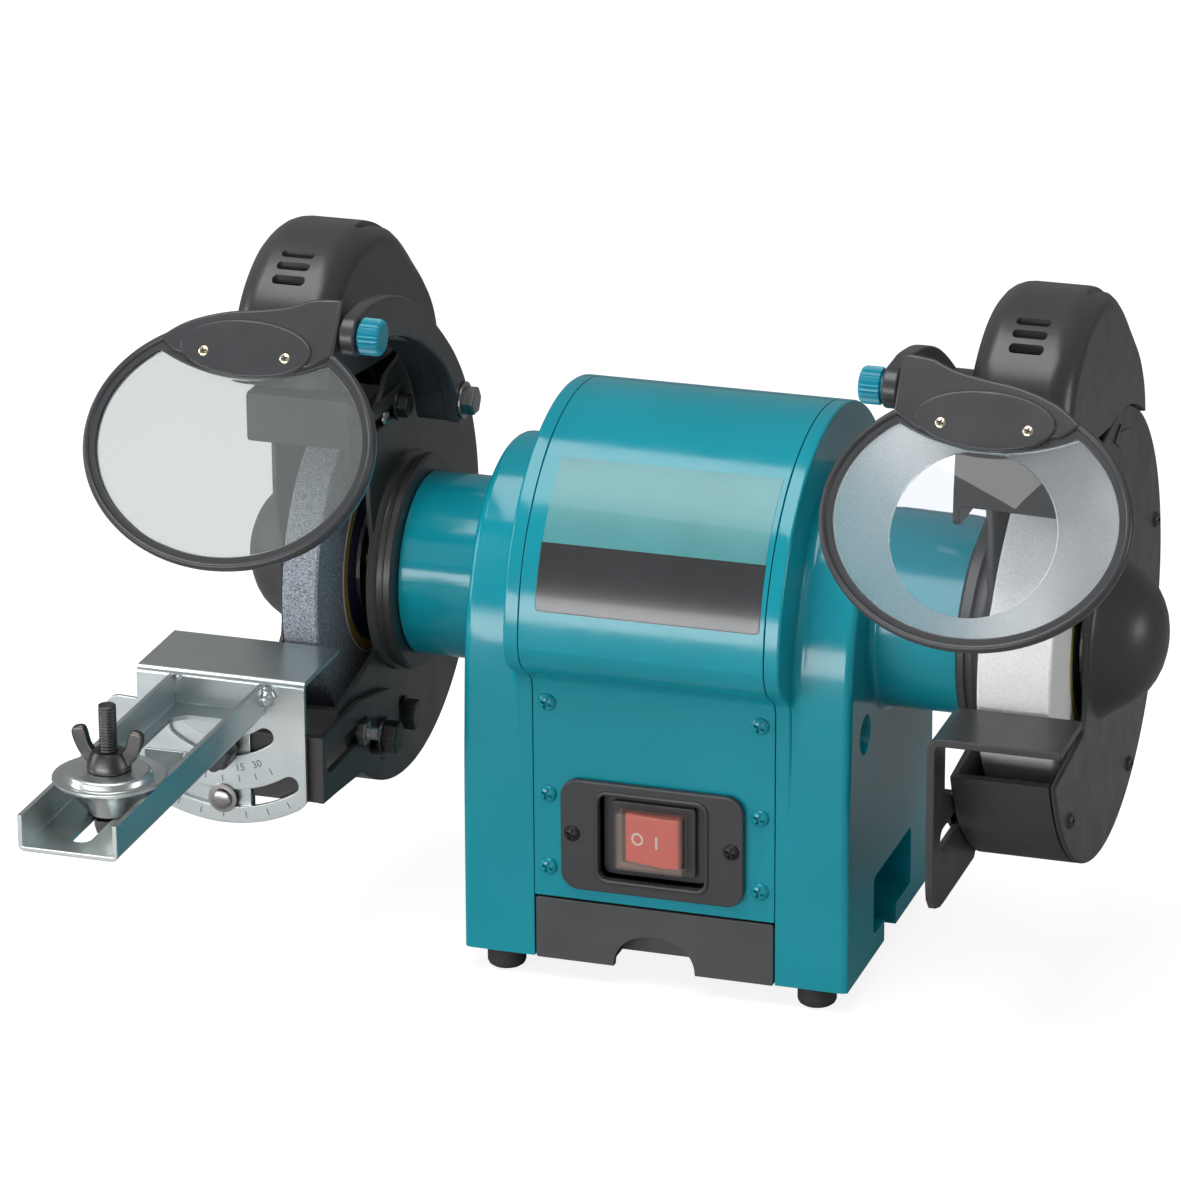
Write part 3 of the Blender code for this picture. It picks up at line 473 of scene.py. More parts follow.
def stone_finish(name, dark, light, scale):
    """Abrasive: packed grains with pits between them."""
    made = Finish(name, light, 0.92)
    cells = made.node("ShaderNodeTexVoronoi")
    cells.inputs["Scale"].default_value = scale
    made.link(made.coords, cells.inputs["Vector"])
    grains = made.node("ShaderNodeSeparateColor")
    made.link(cells.outputs["Color"], grains.inputs["Color"])
    shades = made.ramp(grains.outputs["Red"], [(0.1, dark), (0.9, light)])
    made.link(shades, made.shader.inputs["Base Color"])
    made.bump(cells.outputs["Distance"], 0.6, 0.35)
    made.bump(made.noise(scale * 2, 2), 0.5, 0.15)
    return made.material


def glass_finish(name, colour, roughness, spread=0.01, clear=1.0):
    """A solid window: light passes through it and its faces reflect the studio."""
    made = Finish(name, colour, roughness, IOR=1.46, Transmission_Weight=clear)
    made.vary_roughness(made.noise(40, 3), roughness, roughness + spread)
    return made


def frosted_finish(name, colour, roughness, spread, clear):
    """A window whose mould was blasted to a fine sparkle."""
    made = glass_finish(name, colour, roughness, spread, clear)
    made.vary_colour(made.noise(1300, 3), 0.16)
    made.bump(made.noise(1900, 2), 0.9, 0.10)
    return made.material


def cap_finish(name, colour, alpha, roughness):
    """A thin clear cap that lets light straight through."""
    made = Finish(name, colour, roughness, Alpha=alpha, IOR=1.49)
    made.vary_roughness(made.noise(40, 3), roughness, roughness + 0.03)
    return made.material


def printed_finish(name, colour, mottle, gloss, metallic=0.0, **coat):
    """Printed film: mottle is (scale, detail, amount), gloss is (scale, least and most roughness)."""
    made = Finish(name, colour, gloss[1], metallic, **coat)
    made.vary_colour(made.noise(*mottle[:2]), mottle[2])
    made.vary_roughness(made.noise(gloss[0]), *gloss[1:])
    return made.material


TEAL = paint_finish("teal_paint", (0.005, 0.280, 0.355), 0.13, 0.02)
ENAMEL = paint_finish("black_enamel", (0.044, 0.043, 0.042), 0.34, 0.06)
PLASTIC = moulded_finish("black_plastic", (0.045, 0.046, 0.050), 0.30)
TRAY = moulded_finish("tray_plastic", (0.060, 0.062, 0.064), 0.45)
KNOB = moulded_finish("knob_teal", (0.007, 0.27, 0.38), 0.32)
RUBBER = moulded_finish("rubber", (0.028, 0.028, 0.028), 0.75, 0.05)
RED = moulded_finish("red_plastic", (0.80, 0.085, 0.060), 0.30, 0.005)
GREY_CAN = moulded_finish("capacitor_grey", (0.42, 0.42, 0.44), 0.45)
GREY_STONE = stone_finish("grey_stone", (0.12, 0.135, 0.16), (0.52, 0.56, 0.63), 2800)
WHITE_STONE = stone_finish("white_stone", (0.84, 0.84, 0.83), (0.97, 0.97, 0.96), 2400)
ZINC = metal_finish("zinc", (0.72, 0.76, 0.755), 0.30, (1, 1, 2.5), (0.58, 0.67, 0.70), 0.0012, 16)
STEEL = metal_finish("steel", (0.36, 0.35, 0.34), 0.30, (3, 1, 1), grain=0.002)
DARK_STEEL = metal_finish("dark_steel", (0.13, 0.125, 0.12), 0.38, tint=(0.07, 0.07, 0.075), grain=0.02)
LAMINATION = metal_finish("lamination", (0.30, 0.30, 0.32), 0.5, (40, 1, 1))
COPPER = metal_finish("copper", (0.62, 0.26, 0.12), 0.32, (1, 6, 6))
TINTED = glass_finish("clear_plastic.tinted", (0.64, 0.675, 0.668), 0.0, 0.01, 0.90).material
MAGNIFIER = glass_finish("clear_plastic.magnifier", (0.85, 0.88, 0.93), 0.0).material
FROST = frosted_finish("clear_plastic.frosted", (0.84, 0.90, 0.96), 0.36, 0.10, 0.93)
CAP = cap_finish("clear_plastic.cap", (0.55, 0.42, 0.36), 0.16, 0.08)
STICKER = printed_finish(
    "teal_paint.sticker", (0.075, 0.285, 0.305), (30, 3, 0.06), (200, 0.33, 0.39), Coat_Weight=0.2
)
BAND = printed_finish(
    "teal_paint.band", (0.050, 0.052, 0.056), (20, 2, 0.08), (160, 0.235, 0.265), 0.35,
    Coat_Weight=0.5, Coat_Roughness=0.12,
)
BORDER = moulded_finish("teal_paint.border", (0.05, 0.05, 0.052), 0.3)
WHITE_MARK = moulded_finish("red_plastic.mark", (0.86, 0.84, 0.80), 0.4)
STAMP = metal_finish("zinc.stamp", (0.16, 0.19, 0.20), 0.5)
BRASS = metal_finish("steel.brass", (0.83, 0.74, 0.50), 0.28)
PAPER_WHITE = moulded_finish("grey_stone.label", (0.80, 0.80, 0.76), 0.7)
PAPER_YELLOW = moulded_finish("grey_stone.yellow", (0.50, 0.36, 0.09), 0.6)
PAPER_BLUE = moulded_finish("grey_stone.blue", (0.020, 0.035, 0.085), 0.6)
INK = moulded_finish("black_plastic.deep", (0.010, 0.010, 0.011), 0.5)


# Small hardware, each made at the origin with its outer face towards -Y.


def cross_screw(radius, height):
    """A pan-head screw with a cross recess."""
    profile = [(0.4, 0), (0.4, radius), (0, radius)]
    for depth, scale in ((0.25, 0.985), (0.62, 0.85), (0.88, 0.6), (1, 0.25), (1, 0)):
        profile.append((-depth * height, radius * scale))
    head = turned("Y", (0, 0), profile, 40)
    depth = height * 0.75
    wide, thin = radius * 0.62, radius * 0.162
    arms = []
    for turn in (20, 110):
        arm = box((-wide, -height - 1, -thin), (wide, -height + depth, thin))
        arms.append(moved(arm, Matrix.Rotation(math.radians(turn), 4, "Y")))
    return cut(head, *arms)


def placed(template, x, y, z, side=0):
    """A copy of a screw at a point; side turns its face to point along X, to the left or the right."""
    turn = Matrix.Identity(4)
    if side:
        turn = Matrix.Rotation(math.radians(90 * side), 4, "Z")
    return copied(template, turn, Vector((x, y, z)))


def thread(centre, start, end, radius, pitch=1.25, depth=0.5):
    """A threaded rod along Z, with a true helical groove and a chamfered end."""
    sides = 28
    count = int(abs(end - start) / (pitch / 6))
    rings = []
    for i in range(count + 1):
        z = start + (end - start) * i / count
        ring = []
        for k in range(sides):
            phase = (z / pitch - k / sides) % 1.0
            r = radius - depth * abs(phase * 2 - 1)
            if i == count:
                r = radius - depth - 0.3
            turn = 2 * math.pi * k / sides
            ring.append((centre[0] + r * math.cos(turn), centre[1] + r * math.sin(turn), z))
        rings.append(ring)
    return loft(rings)


# The body.


def cover_path():
    """The motor cover's outline in (y, z): up the front, over the arch and down the back."""
    waist = [(-70, -40), (-70, -31), (-70.1, -25), (-71.6, -20.2), (-75.8, -16.4), (-81.3, -13.0)]
    waist += [(-85.6, -8.8), (-88.0, -3.5), (-88.8, 0)]
    waist = flowing(waist, 4)
    arch = arc((0, 0), 88.8, 180, 0, 90)[1:-1]
    return waist + arch + [(-y, z) for y, z in reversed(waist)]


def wavy(radius, wave, lobes, steps):
    """A circle whose radius waves in and out."""
    points = []
    for i in range(steps):
        turn = i / steps
        at = radius + wave * math.cos(lobes * 2 * math.pi * turn)
        points += arc((0, 0), at, 360 * turn, 360 * turn, 1)[:1]
    return points


def offset_path(points, distance):
    """The path moved to its right by a distance."""
    out = []
    for i, point in enumerate(points):
        before = Vector(points[max(0, i - 1)])
        after = Vector(points[min(len(points) - 1, i + 1)])
        run = (after - before).normalized()
        out.append((point[0] + run.y * distance, point[1] - run.x * distance))
    return out


def bell_path():
    """A casting's outline outside its rim, in (y, z)."""
    flank = [(-70, -100), (-70, -80), (-69.7, -62), (-69.1, -45), (-68.5, -30), (-67.8, -17)]
    flank += [(-66.3, -4), (-63.0, 9), (-58.6, 20.2)]
    flank = flowing(flank, 4)
    arch = arc((0, 0), 62, 160, 20, 60)
    return flank + arch + [(-y, z) for y, z in reversed(flank)]


def ray_radius(outline, angle):
    """Distance from the shaft's axis to a closed outline along a direction."""
    run = Vector((math.cos(angle), math.sin(angle)))
    best = None
    for first, second in zip(outline, outline[1:] + outline[:1]):
        a, b = Vector(first), Vector(second)
        edge = b - a
        scale = run.x * edge.y - run.y * edge.x
        if abs(scale) < 1e-9:
            continue
        t = (a.x * edge.y - a.y * edge.x) / scale
        s = (a.x * run.y - a.y * run.x) / scale
        if t > 0 and -1e-6 <= s <= 1 + 1e-6:
            best = t if best is None else max(best, t)
    return best


def casting():
    """The right-hand casting: rim, bell, side face and filleted neck, with a pocket and a lip."""
    low = 4 - SHAFT_Z
    rim = [(-70, low)] + cover_path() + [(70, low)]
    bell = [(-70, low)] + bell_path() + [(70, low)]
    corner = math.atan2(low, 70)
    angles = [2 * math.pi * i / 180 for i in range(180)]
    angles = sorted(angles + [corner % (2 * math.pi), (math.pi - corner) % (2 * math.pi)])
    rim_radii = [ray_radius(rim, angle) for angle in angles]
    bell_radii = [ray_radius(bell, angle) for angle in angles]
    rings = []

    def ring(x, radii):
        """Adds one ring of the skin."""
        rings.append([(x, r * math.cos(a), SHAFT_Z + r * math.sin(a)) for a, r in zip(angles, radii)])

    for x, drop in ((54.3, 0.5), (54.45, 0.15), (54.8, 0), (59.6, 0)):
        ring(x, [r - drop for r in rim_radii])
    for x, drop in ((60.2, 0.15), (60.7, 0.5), (61.0, 1.2)):
        ring(x, [b + max(0.0, r - b - drop) for r, b in zip(rim_radii, bell_radii)])
    for x, rise in ((61.15, 3.4), (61.5, 2.2), (62.1, 1.3), (63.0, 0.6), (64.2, 0.2), (65.5, 0.0)):
        ring(x, [b + min(max(0.0, r - b - 1.2), rise) for r, b in zip(rim_radii, bell_radii)])
    ring(74, bell_radii)
    edge = 4.0
    for turn in (0, 18, 36, 54, 72, 90):
        t = math.radians(turn)
        ring(82.5 + edge * math.sin(t), [b - edge * (1 - math.cos(t)) for b in bell_radii])
    neck, fillet = 40.5, 3.0
    for turn in (0, 22, 45, 68, 90):
        t = math.radians(turn)
        radius = neck + fillet * (1 - math.sin(t))
        ring(86.5 + fillet * (1 - math.cos(t)), [radius] * len(angles))
    for x, radius in ((125.0, neck), (125.5, 40.0), (125.5, 33), (116, 33)):
        ring(x, [radius] * len(angles))
    inner_rim = offset_path([(-70, low - 9)] + cover_path() + [(70, low - 9)], 4.0)
    inner_bell = offset_path([(-70, low - 9)] + bell_path() + [(70, low - 9)], 5.0)
    dimple = [(81.6, 0), (81.6, 5.6), (84.5, 7.6), (86.0, 8.6), (88, 9.6), (88, 0)]
    underneath = box((40, -90, -20), (100, 90, 10))
    cutters = [
        plate("X", [lifted(inner_rim)], 52, 57),
        plate("X", [lifted(inner_bell)], 56, 81.5),
        underneath,
        rod("X", SHAFT, 76.5, 97, 34),
        rod("X", SHAFT, 70, 130, 17.6),
        turned("X", (-44.5, SHAFT_Z - 40), dimple, 40),
    ]
    liner = plate("X", [[(-32, 6), (37, 6), (37, 51), (-32, 51)]], 63, 83)
    pocket = softened(box((66, -28, 20), (90, 33, 47)), 2.5)
    notch = softened(box((66, -10, -6), (90, 9, 24)), 1.5, 2)
    body = joined(cut(loft(rings), *cutters), liner)
    body = cut(body, pocket, notch, underneath)
    lip = box((47, -62, 10.05), (80, 62, 12.2))
    bosses = [rod("Z", (70.5, y), 10.05, 18, 12.7) for y in (-56, 56)]
    return joined(body, lip, *bosses)


def build_body():
    """Castings, motor cover with its screws and label, deck and feet."""
    right = casting()
    left = mirrored(right.copy(), -1)
    piece("right_casting", right, "root", TEAL, ["right_end_casting"], 34)
    piece("left_casting", left, "root", TEAL, ["left_end_casting"], 34)
    path = [(-70, 39.2 - SHAFT_Z)] + cover_path() + [(70, 13 - SHAFT_Z)]
    cover = plate("X", [lifted(path + offset_path(path, 2.6)[::-1])], -54, 54, 0.35)
    cover = cut(cover, box((-26, -80, 49), (26, -60, 93)), rod("Y", (-42, 62), 60, 80, 7.5))
    piece("cover", cover, "root", TEAL, ["motor_cover"], 34)
    screw = cross_screw(4.0, 2.0)
    heads = [placed(screw, x, -70.1, SHAFT_Z + z) for x in (-47.5, 47.5) for z in (-31, -73, -107)]
    back = copied(screw, Matrix.Rotation(math.pi, 4, "Z"))
    heads += [placed(back, x, 70.1, SHAFT_Z + z) for x in (-47.5, 47.5) for z in (-31, -107)]
    piece("cover_screws", gathered(*heads), "root", TEAL)
    build_label()
    deck = box((-53.7, -66.5, 39), (53.7, 66.5, 42), 0.4)
    saddle = box((-12, -26, 41), (12, 26, SHAFT_Z - 46), 0.5)
    saddle = cut(saddle, rod("X", SHAFT, -20, 20, 58.3, 96))
    piece("deck", joined(deck, saddle), "root", DARK_STEEL, ["base_deck"])
    profile = [(0, 0), (0, 5.6), (0.35, 6.9), (1.1, 7.9), (2.4, 8.5), (9.7, 8.5), (9.7, 0)]
    for end, y in (("front", -60), ("back", 60)):
        for who, side in SIDES:
            foot = turned("Z", (70.5 * side, y), profile, 48)
            piece(f"rubber_{end}_{who}", foot, "root", RUBBER, [f"foot_{end}_{who}"], 50)


def curved_patch(x0, x1, top, bottom, level, thick, corner=0.0):
    """A thin sheet on the arch between two angles above the horizontal, its lower corners rounded."""
    steps = 40
    bm = bmesh.new()
    layers = []
    for radius in (level, level + thick):
        rows = []
        for i in range(steps + 1):
            angle = top + (bottom - top) * i / steps
            short = max(0.0, corner - abs(angle - bottom) * math.radians(1) * level)
            pull = corner - math.sqrt(corner**2 - short**2)
            turn = math.radians(180 - angle)
            y, z = radius * math.cos(turn), SHAFT_Z + radius * math.sin(turn)
            rows.append([bm.verts.new((x, y, z)) for x in (x0 + pull, x1 - pull)])
        layers.append(rows)
    low, high = layers
    for i in range(steps):
        for rows in layers:
            bm.faces.new((rows[i][0], rows[i][1], rows[i + 1][1], rows[i + 1][0]))
        for k in (0, 1):
            bm.faces.new((low[i][k], low[i + 1][k], high[i + 1][k], high[i][k]))
    for i in (0, steps):
        bm.faces.new((low[i][0], low[i][1], high[i][1], high[i][0]))
    return mesh_of(bm)


def build_label():
    """A plain sticker over a plain dark band, with the band's border."""
    level = 88.75
    field = curved_patch(-46.5, 51.5, 55.8, 30.0, level, 0.22)
    piece("label_field", field, "root", STICKER, angle=50)
    border = curved_patch(-46.9, 51.9, 30.3, 11.0, level, 0.18, 1.6)
    piece("label_border", border, "root", BORDER, angle=50)
    band = curved_patch(-46.5, 51.5, 30.0, 11.3, level, 0.30, 1.4)
    piece("label_band", band, "root", BAND, angle=50)


def build_tray():
    """The coolant drawer, with a finger hole under its front."""
    turns = [math.pi * i / 40 for i in range(41)]
    arch = [(18.4 * math.cos(t), 8 + 17.4 * math.sin(t) ** 0.8) for t in turns]
    arch = [(18.4, 0)] + arch + [(-18.4, 0)]
    face = plate("Y", [rounded_box((-53.6, 9.5), (53.6, 38), 1.0, 3)], -70, -66.5, 0.35)
    body = box((-51.5, -68, 12.6), (51.5, 50, 38), 0.8)
    basin = softened(box((-49, -54, 15), (49, 47.5, 45)), 3.0)
    tray = cut(joined(face, body), basin, plate("Y", [arch], -74, -58))
    piece("tray_drawer", softened(tray, 0.5, 2, 50), "tray", TRAY, ["coolant_tray"])


def build_switch():
    """Switch plate, bezel, rocker with its two marks, clear cap, and the cord's gland at the back."""
    face = -70.3
    low, high = SHAFT_Z - 115, SHAFT_Z - 64
    centre = 71.5
    opening = rounded_box((-23.7, low + 6.4), (23.7, high - 5.5), 4)
    lip = rounded_box((-25.6, low + 4.5), (25.6, high - 3.6), 5.4)
    outline = rounded_box((-41, low), (41, high), 8, 10)
    escutcheon = plate("Y", [outline, opening], face - 3, face, 0.7, 3)
    raised = plate("Y", [lip, opening], face - 3.9, face - 1.5, 0.8, 3)
    piece("switch_escutcheon", joined(escutcheon, raised), "root", PLASTIC, ["switch_plate"])
    screw = cross_screw(3.6, 1.9)
    heads = [placed(screw, x, face - 2.9, 71) for x in (-35.7, 35.7)]
    piece("switch_screws", gathered(*heads), "root", INK)
    well = plate("Y", [rounded_box((-23.2, 51.9), (23.2, 90), 3.6)], face + 3, face + 24, 0.4)
    bezel = plate("Y", [rounded_box((-18.8, 55), (18.8, 87.2), 1.6)], face + 0.3, face + 8, 0.5)
    pocket = box((-14, face - 5, centre - 12.3), (14, face + 9, centre + 12.3))
    piece("switch_bezel", cut(joined(well, bezel), pocket), "root", PLASTIC, ["switch_body"])
    back = face + 4.3
    key = [(-12.3, back), (-12.3, face - 1.2), (6, face - 4.8), (12.3, face - 3.6), (12.3, back)]
    key = softened(plate("Z", [key], centre - 11.3, centre + 11.3), 0.6)
    piece("rocker_key", key, "rocker", RED, ["rocker"])
    slope = Matrix.Rotation(-math.atan2(3.6, 18.3), 4, "Z")
    ring = plate("Y", [circle((0, 0), 2.9), circle((0, 0), 2.0)], -0.12, 0.5, 0.05)
    moved(ring, slope, Vector((-6.5, face - 2.35, centre)))
    bar = plate("Y", [slot((0, -2.4), (0, 2.4), 0.55)], -0.12, 0.5, 0.05)
    moved(bar, slope, Vector((2.6, face - 4.15, centre)))
    piece("rocker_marks", gathered(ring, bar), "rocker", WHITE_MARK)
    cap = softened(box((-15.2, face - 7.2, centre - 13), (15.2, face - GAP, centre + 13)), 1.2)
    inside = box((-14.4, face - 6.4, centre - 12.2), (14.4, face + 2, centre + 12.2))
    piece("switch_cap", cut(cap, softened(inside, 0.7, 2)), "root", CAP, ["dust_cover"])
    gland = [(58, 3.6), (58, 7.2), (70.2, 7.2), (70.2, 11), (72.0, 11), (74, 9.4), (74, 3.8)]
    piece("gland", turned("Y", (-42, 62), gland, 40), "root", RUBBER, ["cord_gland"])


# Wheels and guards.


def build_wheels():
    """Both wheels, with the three colours of their paper blotters on each face."""
    bands = (
        ("edge", PAPER_WHITE, 41.6, 42.5, 0.20),
        ("ring", PAPER_YELLOW, 37.2, 41.5, 0.22),
        ("disc", PAPER_BLUE, 12.0, 37.1, 0.20),
    )
    wheels = ((-1, 150, 166, "grey", GREY_STONE), (1, 142.5, 174, "white", WHITE_STONE))
    for side, inner, outer, stone, finish in wheels:
        profile = [(inner, 6.5), (inner, 74.2), (inner + 0.8, 75)]
        profile += [(outer - 0.8, 75), (outer, 74.2), (outer, 6.5)]
        wheel = mirrored(turned("X", SHAFT, profile, 128), side)
        piece(f"{stone}_abrasive", wheel, "rotor", finish, [f"{stone}_wheel"])
        for place, x, turn in (("inner", inner, -1), ("outer", outer, 1)):
            for band, paper, r0, r1, thick in bands:
                disc = [(x, r0), (x, r1), (x + turn * thick, r1), (x + turn * thick, r0)]
                mesh = mirrored(turned("X", SHAFT, disc, 96), side)
                piece(f"{stone}_blotter_{place}_{band}", mesh, "rotor", paper)


def guard_sheet(tip):
    """Side sheet of a guard, its front left open for the wheel, with the corners eased."""
    front = [(-20, 92), (-30, 82.5), (-41, 72), (-44, 67), (-44, 42), (-42.5, 30), (-39, 15), (-38, -20)]
    front += [(-39.3, -26), (-43, -29.5)]
    return lifted(arc((0, 0), 98, 180 + tip, 444, 90) + front)


def build_guards():
    """Guards: inner half with rim and collar, outer sheet with its dome, raised arrow and screws."""
    bore = circle(SHAFT, 36)
    arrow = plate("X", [arc_slot(SHAFT, 86.5, 1.5, 67, 83, 16)], 180.9, 181.7, 0.3)
    barb = [arc(SHAFT, r, angle, angle, 1)[0] for r, angle in ((86.5, 90), (81.5, 83), (91.5, 83))]
    arrow = gathered(arrow, plate("X", [barb], 180.9, 181.7, 0.25))
    collar = [(125.8, 36), (125.8, 46.6), (126.9, 47.9), (129.5, 48), (130.2, 47), (131.6, 46.6)]
    collar += [(133, 47), (133.7, 48), (135.2, 48.6), (136.8, 49.5), (136.8, 36)]
    dome = [(0, 37.6), (0.35, 36.2), (1.6, 35.1), (3, 34.1), (5.5, 32.4), (9, 30.3), (12.5, 28.2)]
    dome += [(16, 25.4), (18.8, 22.2), (21.2, 18.4), (23.2, 14), (24.5, 9.4), (25.3, 4.6), (25.5, 0)]
    outside = [(178.0, 0), (178.0, 37.6)] + [(181 + out - 0.15, r) for out, r in dome]
    hollow = [(177.0, 0), (177.0, 33)] + [(178.4 + out, max(0.0, r - 2.2)) for out, r in dome[2:]]
    screw = cross_screw(3.6, 2.2)
    for who, side in SIDES:
        tip = 23.0 if side < 0 else 20.8
        sheet = plate("X", [guard_sheet(tip), bore], 135.8, 138.3, 0.7)
        rim = arc(SHAFT, 98, 180 + tip, 418, 90) + arc(SHAFT, 95.5, 418, 180 + tip, 90)
        rim = plate("X", [rim], 136.8, 178.2, 0.4)
        inner = joined(sheet, rim, turned("X", SHAFT, collar, 96))
        piece(f"{who}_guard_shell", mirrored(inner, side), "root", ENAMEL, [f"{who}_guard_inner"])
        cover = plate("X", [guard_sheet(tip)], 178.5, 181, 1.0, 3)
        cover = joined(cover, turned("X", SHAFT, outside, 96))
        cover = cut(cover, turned("X", SHAFT, hollow, 96))
        piece(f"{who}_guard_side", mirrored(cover, side), "root", ENAMEL, [f"{who}_guard_cover"])
        piece(f"{who}_turn_arrow", mirrored(arrow.copy(), side), "root", ENAMEL)
        heads = []
        for angle in (-137, -60, 15):
            y, z = arc(SHAFT, 88, angle, angle, 1)[0]
            heads.append(placed(screw, side * 180.8, y, z, side))
        piece(f"{who}_guard_screws", gathered(*heads), "root", ENAMEL)


def hood_outline():
    """Side view of a spark cover in (y, z) above the shaft, closed below the guard's edge."""
    rise = [(54, 80), (54, 88), (52.5, 98), (47.5, 109.5), (38.5, 122), (26, 135), (10, 148)]
    crown = [(-7, 156.5), (-25, 161), (-41, 161), (-55, 158), (-68.5, 151)]
    lip = [(-79.5, 141.5), (-86.5, 129.5), (-89.5, 114), (-90, 100)]
    return flowing(rise + crown + lip, 5) + [(-90, 80)]


def hood_skin(inset, half_width, edge):
    """A closed loft across a spark cover: flat sides that roll over into the crown."""
    centre = Vector((-22, 96))
    shifted = [(y - centre.x, z - centre.y) for y, z in hood_outline()]
    angles = [2 * math.pi * i / 144 for i in range(144)]
    radii = [ray_radius(shifted, angle) - inset for angle in angles]
    middle_x = 160.3
    rings = []
    for direction in (-1, 1):
        part = []
        for turn in (90, 75, 60, 45, 30, 15, 0):
            t = math.radians(turn)
            x = middle_x + direction * (half_width - edge + edge * math.sin(t))
            shrink = edge * (1 - math.cos(t))
            ring = []
            for angle, radius in zip(angles, radii):
                r = radius - shrink * max(0.0, min(1.0, 0.35 + math.sin(angle) * 1.2))
                y, z = centre.x + r * math.cos(angle), centre.y + r * math.sin(angle)
                ring.append((x, y, SHAFT_Z + z))
            part.append(ring)
        rings += part if direction < 0 else part[::-1]
    return loft(rings)


def build_hoods():
    """Vented plastic hoods over the guards, open below."""
    below = [(-120, 50), (-120, 106.5), (-84, 106), (-30, 99.5)] + arc((0, 0), 98.6, 97, 40, 24)
    below = lifted(below + [(70, 50)])
    low, high = SHAFT_Z + 128, SHAFT_Z + 175
    turns = [math.pi * i / 12 for i in range(24)]
    for who, side in SIDES:
        vents = []
        for y in (-59.9, -66.1, -72.3):
            vents.append(plate("Z", [rounded_box((152.9, y - 1.9), (167.5, y + 1.9), 1.8)], low, high))
        ridge = 175.6 if side > 0 else 145.0
        notch = [(ridge + 2.3 * math.sin(t), -8 - 23 * math.cos(t)) for t in turns]
        vents.append(plate("Z", [notch], low, high))
        inside = hood_skin(3.0, 19.2, 8.5)
        shell = cut(hood_skin(0.0, 22.2, 11.0), inside, plate("X", [below], 130, 190), *vents)
        piece(f"{who}_hood", mirrored(shell, side), "root", PLASTIC, [f"{who}_spark_cover"], 40)


def build_arrestors():
    """Spark arrestors on slotted ears, each held by a bolt and a screw."""
    low, high = SHAFT_Z + 68, SHAFT_Z + 96.6
    screw = cross_screw(3.4, 1.9)
    for who, side in SIDES:
        face = plate("Y", [rounded_box((133.2, low + 7), (180, high), 1.5)], -74, -72, 0.4)
        brim = plate("Z", [rounded_box((133.2, -73.9), (180, -61), 1.5)], high - 2, high, 0.4)
        tab = rounded_box((-73.6, low), (-6, low + 16), 2.5)
        ear = plate("X", [tab, slot((-44, low + 8), (-14, low + 8), 2.6)], 133, 135.5, 0.4)
        mesh = mirrored(joined(face, brim, ear), side)
        piece(f"{who}_arrestor_plate", mesh, f"{who}_arrestor", ENAMEL, [f"{who}_spark_arrestor"])
        head = placed(screw, side * 133.1, -31, low + 8, -side)
        piece(f"{who}_arrestor_screw", head, "root", STEEL)
        at = (-15, low + 9)
        washer = plate("X", [circle(at, 6.6)], 131.8, 133.2, 0.25)
        bolt = joined(hexagon("X", at, 127.4, 132.2, 9.5), washer)
        piece(f"{who}_arrestor_bolt", mirrored(bolt, side), "root", DARK_STEEL)


# Eye shields.

PIVOT = Vector((0, -114.0, SHAFT_Z + 141.0))
TILT = math.radians(32.0)
OVAL = (159.3, -52.8)
OVAL_WIDE, OVAL_HIGH = 64.2, 53.6
RIM = 5.7


def on_shield(mesh, side):
    """Moves a flat mesh, made in XY with the pivot at Y = 0, onto the plane of a tilted shield."""
    mesh.transform(Matrix.Translation(PIVOT) @ Matrix.Rotation(math.radians(90) - TILT, 4, "X"))
    return mirrored(mesh, side)


def lens_edge(inset=0.0):
    """The window inside the rim, its top cut by the head block's shallow arc."""
    wide, high = OVAL_WIDE - RIM - inset, OVAL_HIGH - RIM - inset
    points = []
    for across, along in ellipse(OVAL, wide, high, 120):
        ceiling = -24.4 + (across - OVAL[0]) ** 2 / 156 - inset
        points.append((across, min(along, ceiling)))
    return points


def bead_ring():
    """The rim: an oval sweep of two beads with a groove between them."""
    steps = 120
    section = [(0.9, 2.2)]
    for angle in range(-30, 166, 15):
        t = math.radians(angle)
        section.append((1.75 - 1.75 * math.cos(t), 6.6 + 2.6 * math.sin(t)))
    for angle in range(20, 181, 20):
        t = math.radians(angle)
        section.append((4.5 - 1.2 * math.cos(t), 6.4 + 1.5 * math.sin(t)))
    section += [(RIM, 3.6), (5.2, 2.4)]
    bm = bmesh.new()
    rows = []
    for i in range(steps):
        turn = 2 * math.pi * i / steps
        at = Vector((OVAL[0] + OVAL_WIDE * math.cos(turn), OVAL[1] + OVAL_HIGH * math.sin(turn)))
        out = Vector((math.cos(turn) / OVAL_WIDE, math.sin(turn) / OVAL_HIGH)).normalized()
        rows.append([bm.verts.new((*(at - out * inward), height)) for inward, height in section])
    for first, second in zip(rows, rows[1:] + rows[:1]):
        bridge(bm, first, second)
    return mesh_of(bm)


